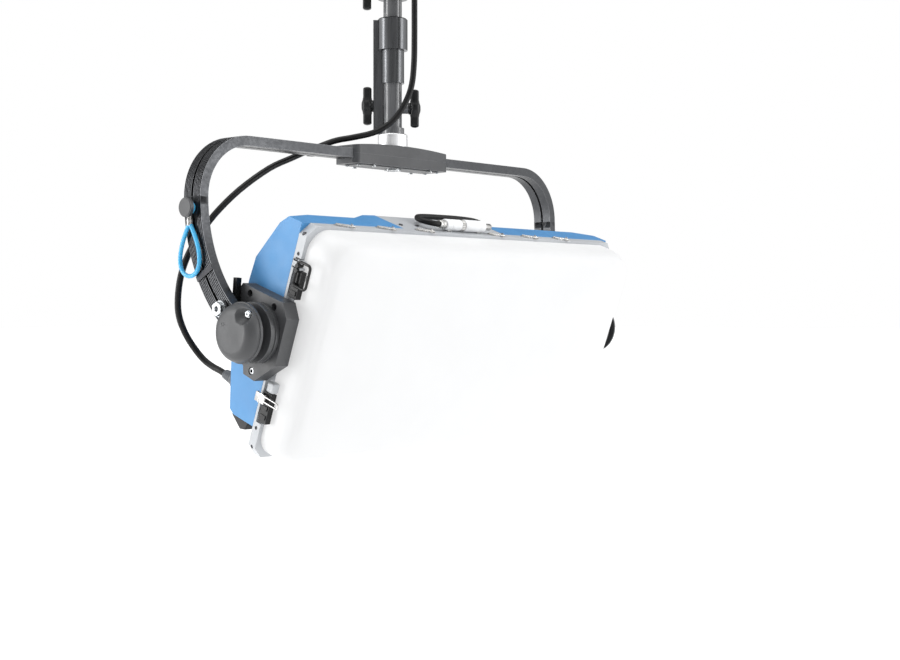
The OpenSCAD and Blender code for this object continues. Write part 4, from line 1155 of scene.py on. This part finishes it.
class SOFTLIGHT_OT_diffuser(bpy.types.Operator):
    """Makes the domed opal diffuser as one vacuum-formed shell"""
    bl_idname = "soft_light.diffuser"
    bl_label = "Diffuser"

    def execute(self, context):
        low, high = box_mm("diffuser", HEAD)
        width, height = high.x - low.x, high.z - low.z
        back = high.y - DIFFUSER_SPIGOT
        depth = back - low.y
        place = HEAD @ at((low.x + high.x) / 2, 0, (low.z + high.z) / 2) @ turned(90, "X")
        rows = smooth_path([(d, w, h) for d, w, h, _ in DIFFUSER_ROWS], 5)
        radii = [r.x for r in smooth_path([(r, 0, 0) for _, _, _, r in DIFFUSER_ROWS], 5)]
        rings = []
        for row, radius in zip(rows, radii):
            wide, high_up, out = (min(share, 1) for share in (row.y, row.z, row.x))
            rings.append(self.ring(width * wide, height * high_up, radius, depth * out - back))
        for share in (0.8, 0.6, 0.4, 0.2, 0.06):
            rings.append([Vector((p.x * share, p.y * share, p.z)) for p in rings[len(rows) - 1]])
        bm = loft(bmesh.new(), rings, close_ends=False)
        bm.verts.ensure_lookup_table()
        bm.faces.new(bm.verts[-len(rings[0]):])
        shell = make_piece("diffuser_shell", bm, opal_acrylic, "head", place, sharp=80)
        wall = shell.modifiers.new("wall", "SOLIDIFY")
        wall.thickness = DIFFUSER_WALL * MM
        wall.offset = -1
        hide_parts("diffuser")
        return {"FINISHED"}

    def ring(self, width, height, radius, depth):
        """One row of the skin: a rounded rectangle with extra points along its sides"""
        corners = rounded_rect(width, height, radius, CORNER_STEPS)
        points = []
        for number, (a, b) in enumerate(zip(corners, corners[1:] + corners[:1])):
            parts = SIDE_POINTS if number % (CORNER_STEPS + 1) == CORNER_STEPS else 1
            ends = Vector((*a, depth)), Vector((*b, depth))
            points += [ends[0].lerp(ends[1], k / parts) * MM for k in range(parts)]
        return points


class SOFTLIGHT_OT_frame_fittings(bpy.types.Operator):
    """Finishes the accessory rails and tilt lever, and makes the lever clips and latch rings"""
    bl_idname = "soft_light.frame_fittings"
    bl_label = "Frame Fittings"

    def execute(self, context):
        finish_nodes("frame_fittings")
        low, high = box_mm("front_frame", HEAD)
        bm = bmesh.new()
        for x in CLIP_X:
            self.lever(bm, HEAD @ at(x, low.y + 5, high.z + 0.05) @ turned(CLIP_TURN, "Z"))
        for flip in BOTH_ENDS:
            place = HEAD @ flip @ at(-high.x, low.y, 0)
            block(bm, (-8.9, -3.9, -91.9), (-8.0, 13.9, -79.1), 0.4, place)
            block(bm, (-8.1, -3.9, -91.9), (-3.2, -3.0, -79.1), 0.4, place)
            block(bm, (-8.1, 13.0, -91.9), (-3.2, 13.9, -79.1), 0.4, place)
            self.wire(bm, [(-7.8, 10, -81), (-7.8, -28, -81), (-7.8, -30.6, -81.8), (-7.8, -30.6, -87.2),
                           (-7.8, -28, -88), (-7.8, 10, -88)], 1.1, place)
            self.wire(bm, [(-7.8, 6, -79), (-7.8, 6, -92)], 1.9, place)
        clips = make_piece("clip_levers", bm, satin_nickel, "head")
        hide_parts("frame_clips")

        bm = bmesh.new()
        for flip in BOTH_ENDS:
            place = HEAD @ flip @ at(-high.x, low.y, 0)
            block(bm, (-4, -7, 94), (5.7, 10, 97.6), 1.2, place)
            block(bm, (-4, -0.6, 94), (5.7, 10, 107), 1.2, place)
            block(bm, (-4, -7, 102.6), (5.7, 10, 107), 1.2, place)
            block(bm, (-5.8, -13, -74), (5.7, -0.1, -60), 2.2, place, segments=3)
        make_piece("clip_blocks", bm, silver_powder_coat, "head")

        for side, flip in zip(("left", "right"), BOTH_ENDS):
            node = f"latch_ring_{side}"
            low, high = box_mm("latch_ring_left", HEAD)
            place = HEAD @ flip @ at(low.x + 2.2, (low.y + high.y) / 2, (low.z + high.z) / 2)
            width, height = high.y - low.y - 4, high.z - low.z - 4.2
            ring = to_row([(0, y, z) for y, z in rounded_rect(width, height, 5, 5)], place)
            bm = tube(bmesh.new(), ring, 1.9 * MM, sides=16, close_loop=True)
            pin_z, pin_y = (high.z - low.z) / 2 - 9, width / 2
            for z in (pin_z, pin_z - 6):
                lathe(bm, [(1.9, -2.1), (2.9, -2.1), (2.9, 2.1), (1.9, 2.1)],
                      place @ at(0, pin_y - 0.5, z) @ turned(90, "Y"), sides=24)
            self.wire(bm, [(0, pin_y, pin_z), (high.x - low.x - 2.3, pin_y, pin_z)], 1.9, place)
            block(bm, (-1.6, -width / 2 - 0.6, -4), (1.6, -width / 2 + 2.4, 4), 0.8, place)
            latch = make_piece(f"latch_wire_{side}", bm, glass_filled_nylon, f"latch_{side}")
            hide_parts(node)
        return {"FINISHED"}

    def wire(self, bm, points, radius, place):
        """A bent wire through points"""
        tube(bm, to_row(points, place), radius * MM, sides=12)

    def lever(self, bm, place):
        """One clip: a slim sheet lever with a bent wire bail and a hooked catch"""
        block(bm, (-15, -2.6, 0.05), (4, 2.6, 1.0), 0.4, place)
        block(bm, (-13, -1.5, 0.9), (1, 1.5, 2.0), 0.5, place)
        self.wire(bm, [(-12, 2.4, 1.9), (12, 2.4, 2.6), (14.2, 1.6, 2.7), (14.2, -1.6, 2.7), (12, -2.4, 2.6),
                       (-12, -2.4, 1.9)], 0.75, place)
        block(bm, (8, -3.8, 0.05), (15.8, 3.8, 1.2), 0.4, place)
        block(bm, (9.4, -3.2, 1.1), (11, 3.2, 5.3), 0.6, place)


class SOFTLIGHT_OT_fans(bpy.types.Operator):
    """Makes the fan rotors with swept blades, and the wire guards behind the slots"""
    bl_idname = "soft_light.fans"
    bl_label = "Fans"

    def execute(self, context):
        finish_nodes("fans")
        for side in ("left", "right"):
            centre = HEAD.inverted() @ Vector(JOINTS[f"fan_{side}_spin"]["pos_m"])
            place = HEAD @ Matrix.Translation(centre) @ turned(-90, "X")
            low, high = box_mm(f"fan_rotor_{side}", HEAD)
            rotor = make_piece(f"fan_blades_{side}", self.rotor((high.x - low.x) / 2), moulded_fan_plastic,
                               f"fan_{side}", place)
            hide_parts(f"fan_rotor_{side}")
            bm = bmesh.new()
            for radius in (12, 20, 28):
                ring = to_row([(x, y, 5.9) for x, y in circle(radius, 48)], place)
                tube(bm, ring, GUARD_WIRE, sides=8, close_loop=True)
            for step in range(4):
                arm = Matrix.Rotation(math.tau * (step + 0.5) / 4, 4, "Z")
                ends = to_row([(r, 0, 6.4) for r in (10, 20, 33)], place @ arm)
                tube(bm, ends, GUARD_WIRE, sides=8)
            make_piece(f"fan_guard_{side}", bm, zinc_plated_steel, "head")
        return {"FINISHED"}

    def rotor(self, reach):
        """A hub with swept, twisted blades"""
        bm = bmesh.new()
        lathe(bm, [(5, -4.4), (13, -4.4), (14, -3.6), (14, 3.9), (12.8, 4.9), (3, 4.9)], sides=48)
        blades = sizes().fan_blades
        for number in range(blades):
            rings = []
            for step in range(8):
                share = step / 7
                radius = 13 + (reach - 1.5 - 13) * share
                pitch = math.radians(48 - 20 * share)
                sweep = math.tau * number / blades + 0.35 * share ** 1.5
                chord = 8.5 + 4.0 * share
                ring = []
                for k in range(12):
                    a = math.tau * k / 12
                    along, thick = chord / 2 * math.cos(a), 0.55 * math.sin(a)
                    camber = 0.9 * (1 - math.cos(a) ** 2)
                    flat = along * math.cos(pitch) - (thick + camber) * math.sin(pitch)
                    rise = along * math.sin(pitch) + (thick + camber) * math.cos(pitch)
                    angle = sweep + flat / radius
                    ring.append(Vector((radius * math.cos(angle), radius * math.sin(angle), rise * 0.8)) * MM)
                rings.append(ring)
            loft(bm, rings)
        return bm


class SOFTLIGHT_OT_controls(bpy.types.Operator):
    """Finishes the rear control panel and adds its display, status lamps and screws"""
    bl_idname = "soft_light.controls"
    bl_label = "Controls"

    def execute(self, context):
        finish_nodes("controls")
        low, high = box_mm("control_panel", HEAD)
        middle = (low.z + high.z) / 2
        left = low.x + 11
        face = high.y
        bm = bmesh.new()
        block(bm, (left + 0.2, face - 1.1, middle - 21.8), (left + 77.8, face - 0.2, middle + 21.8),
              0.4, HEAD)
        make_piece("display_window", bm, display_glass, "head")
        bm = bmesh.new()
        for row, wide in enumerate((52, 34, 44, 26)):
            z = middle + 14 - 9 * row
            for start, end in ((left + 6, left + 6 + wide), (left + 64, left + 72)):
                block(bm, (start, face - 0.3, z - 1.6), (end, face - 0.05, z + 1.6), 0.1, HEAD, segments=1)
        make_piece("display_bars", bm, backlit_segments, "head")
        bm = bmesh.new()
        for x in (left + 84, left + 112):
            lathe(bm, [(1.6, -0.5), (1.6, 0.3), (1.2, 0.7), (0.3, 0.8)],
                  HEAD @ at(x, face, middle) @ turned(-90, "X"), sides=24)
        make_piece("status_lamps", bm, backlit_segments, "head")
        bm = bmesh.new()
        for x in (low.x + 4.5, high.x - 4.5):
            for z in (low.z + 4.5, high.z - 4.5):
                socket_screw(bm, HEAD @ at(x, face, z) @ turned(-90, "X"), 2.3, 1.2)
        make_piece("panel_screws", bm, black_oxide_steel, "head")
        return {"FINISHED"}


class SOFTLIGHT_OT_jumper(bpy.types.Operator):
    """Makes the short jumper lead over the housing, its inline connector and its clips"""
    bl_idname = "soft_light.jumper"
    bl_label = "Jumper Lead"

    def execute(self, context):
        path = to_row(smooth_path(JUMPER, 5), HEAD)
        cable = tube(bmesh.new(), path, JUMPER_RADIUS)
        lead = make_piece("jumper_cable", cable, rubber_sheath, "head")
        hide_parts("jumper_lead")
        axis = HEAD @ at(JUMPER[0][0] + 46, JUMPER[0][1], JUMPER[0][2]) @ turned(90, "Y")
        bm = bmesh.new()
        lathe(bm, [(4.05, -52), (5.4, -52), (6, -51), (6, -49), (5.3, -48.5), (5.3, -47), (6, -46.5),
                   (6, -40)], axis)
        lathe(bm, [(6.4, 44), (5, 44.5), (5, 59), (4.4, 60), (1, 60)], axis)
        lathe(bm, [(5, -8), (7.6, -8), (7.6, 0.5), (5, 0.5)], axis, sides=80, lobes=20, lobe_mm=0.35)
        nickel = make_piece("jumper_connector_metal", bm, satin_nickel, "head")
        bm = bmesh.new()
        lathe(bm, [(5, -40), (7.2, -40), (8, -39), (8, -30), (7.4, -29.4), (7.4, -28), (8, -27.4),
                   (8, -9), (7, -8)], axis)
        lathe(bm, [(7, 0), (8.2, 0), (8.6, 0.6), (8.6, 30), (8.2, 30.5), (8.2, 33), (8.6, 33.5),
                   (8.6, 43), (7.8, 44), (5, 44)], axis)
        make_piece("jumper_connector_shell", bm, white_connector_plastic, "head")
        top = box_mm("front_frame", HEAD)[1].z
        bm = bmesh.new()
        for x in (-52, 12):
            block(bm, (x - 5, -9, top + 0.1), (x + 5, 1, top + 6), 0.8, HEAD)
        lathe(bm, [(6.3, top - 0.4), (8.8, top - 0.4), (8.6, top + 0.4), (8, top + 0.6), (6.5, top + 0.6)],
              HEAD @ at(JUMPER[-1][0], JUMPER[-1][1], 0))
        make_piece("jumper_clips", bm, satin_nickel, "head")
        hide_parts("jumper_plug")
        return {"FINISHED"}


class SOFTLIGHT_OT_light_engine(bpy.types.Operator):
    """Finishes the reflector, LED board, heat sink and power supply, and adds the LEDs' domes"""
    bl_idname = "soft_light.light_engine"
    bl_label = "Light Engine"

    def execute(self, context):
        finish_nodes("light_engine")
        low, high = box_mm("led_board", HEAD)
        middle = (low.z + high.z) / 2
        bm = bmesh.new()
        for column in range(-9, 10):
            for row in range(-3, 4):
                spot = HEAD @ at(LED_PITCH[0] * column, low.y, middle + LED_PITCH[1] * row) @ turned(90, "X")
                lathe(bm, [(3.2, 0), (3.0, 0.9), (2.2, 1.7), (0.8, 2.1)], spot, sides=12)
        make_piece("led_domes", bm, backlit_segments, "head")
        return {"FINISHED"}


class SOFTLIGHT_OT_stage(bpy.types.Operator):
    """Makes the pale floor, the white surround and the soft studio lights"""
    bl_idname = "soft_light.stage"
    bl_label = "Stage"

    def execute(self, context):
        scene = context.scene
        bm = bmesh.new()
        bmesh.ops.create_grid(bm, x_segments=1, y_segments=1, size=60)
        mesh = bpy.data.meshes.new("floor")
        bm.to_mesh(mesh)
        bm.free()
        mesh.materials.append(finish(pale_studio_floor))
        floor = bpy.data.objects.new("floor", mesh)
        floor.location.z = FLOOR_HEIGHT
        scene.collection.objects.link(floor)
        self.surround(scene)
        for name, place, size, watts in SOFT_BOXES:
            data = bpy.data.lights.new(name, "AREA")
            data.shape = "RECTANGLE"
            data.size, data.size_y = size
            data.energy = watts
            lamp = bpy.data.objects.new(name, data)
            lamp.location = place
            lamp.rotation_euler = (HUB - Vector(place)).to_track_quat("-Z", "Y").to_euler()
            scene.collection.objects.link(lamp)
        scene.view_settings.view_transform = "Standard"
        return {"FINISHED"}

    def surround(self, scene):
        """A white studio round the light, with brighter and darker panels that shape the reflections"""
        scene.world = bpy.data.worlds.new("studio")
        scene.world.use_nodes = True
        tree = scene.world.node_tree
        tree.nodes.clear()
        facing = add_node(tree, "ShaderNodeTexCoord").outputs["Generated"]
        level = None
        for direction, start, end, gain in PANELS:
            inputs = {0: facing, 1: Vector(direction).normalized()}
            towards = add_node(tree, "ShaderNodeVectorMath", inputs, operation="DOT_PRODUCT").outputs["Value"]
            part = spread(tree, towards, 0.0, gain, start, end)
            inputs = {0: part, 1: SURROUND if level is None else level}
            level = add_node(tree, "ShaderNodeMath", inputs, operation="ADD").outputs[0]
        white = linear("#FFFFFF")
        shaped = add_node(tree, "ShaderNodeBackground", {"Color": white, "Strength": level}).outputs[0]
        plain = add_node(tree, "ShaderNodeBackground", {"Color": white, "Strength": 1.0}).outputs[0]
        seen = add_node(tree, "ShaderNodeLightPath").outputs["Is Camera Ray"]
        mixed = add_node(tree, "ShaderNodeMixShader", {0: seen, 1: shaped, 2: plain}).outputs[0]
        add_node(tree, "ShaderNodeOutputWorld", {"Surface": mixed})


class SOFTLIGHT_PT_panel(bpy.types.Panel):
    """Sizes, colours and steps of the soft panel light"""
    bl_idname = "SOFTLIGHT_PT_panel"
    bl_label = "Soft Panel Light"
    bl_space_type = "VIEW_3D"
    bl_region_type = "UI"
    bl_category = "Soft Light"

    def draw(self, context):
        for group in (context.scene.soft_light_sizes, context.scene.soft_light_colours):
            column = self.layout.column(align=True)
            for name in group.__annotations__:
                column.prop(group, name)
        column = self.layout.column(align=True)
        for step in STEPS:
            column.operator(step.bl_idname)


# The order in which main runs them
STEPS = [
    SOFTLIGHT_OT_camera, SOFTLIGHT_OT_mains_lead, SOFTLIGHT_OT_safety_loop, SOFTLIGHT_OT_lock_handles,
    SOFTLIGHT_OT_hanger, SOFTLIGHT_OT_yoke, SOFTLIGHT_OT_head_shell, SOFTLIGHT_OT_diffuser,
    SOFTLIGHT_OT_frame_fittings, SOFTLIGHT_OT_fans, SOFTLIGHT_OT_controls, SOFTLIGHT_OT_jumper,
    SOFTLIGHT_OT_light_engine, SOFTLIGHT_OT_stage,
]
CLASSES = [SoftLightSizes, SoftLightColours, *STEPS, SOFTLIGHT_PT_panel]


def register():
    for made in CLASSES:
        bpy.utils.register_class(made)
    bpy.types.Scene.soft_light_sizes = PointerProperty(type=SoftLightSizes)
    bpy.types.Scene.soft_light_colours = PointerProperty(type=SoftLightColours)


def unregister():
    del bpy.types.Scene.soft_light_colours
    del bpy.types.Scene.soft_light_sizes
    for made in reversed(CLASSES):
        bpy.utils.unregister_class(made)


def main():
    register()
    for step in STEPS:
        group, name = step.bl_idname.split(".")
        getattr(getattr(bpy.ops, group), name)()


if __name__ == "__main__":
    main()
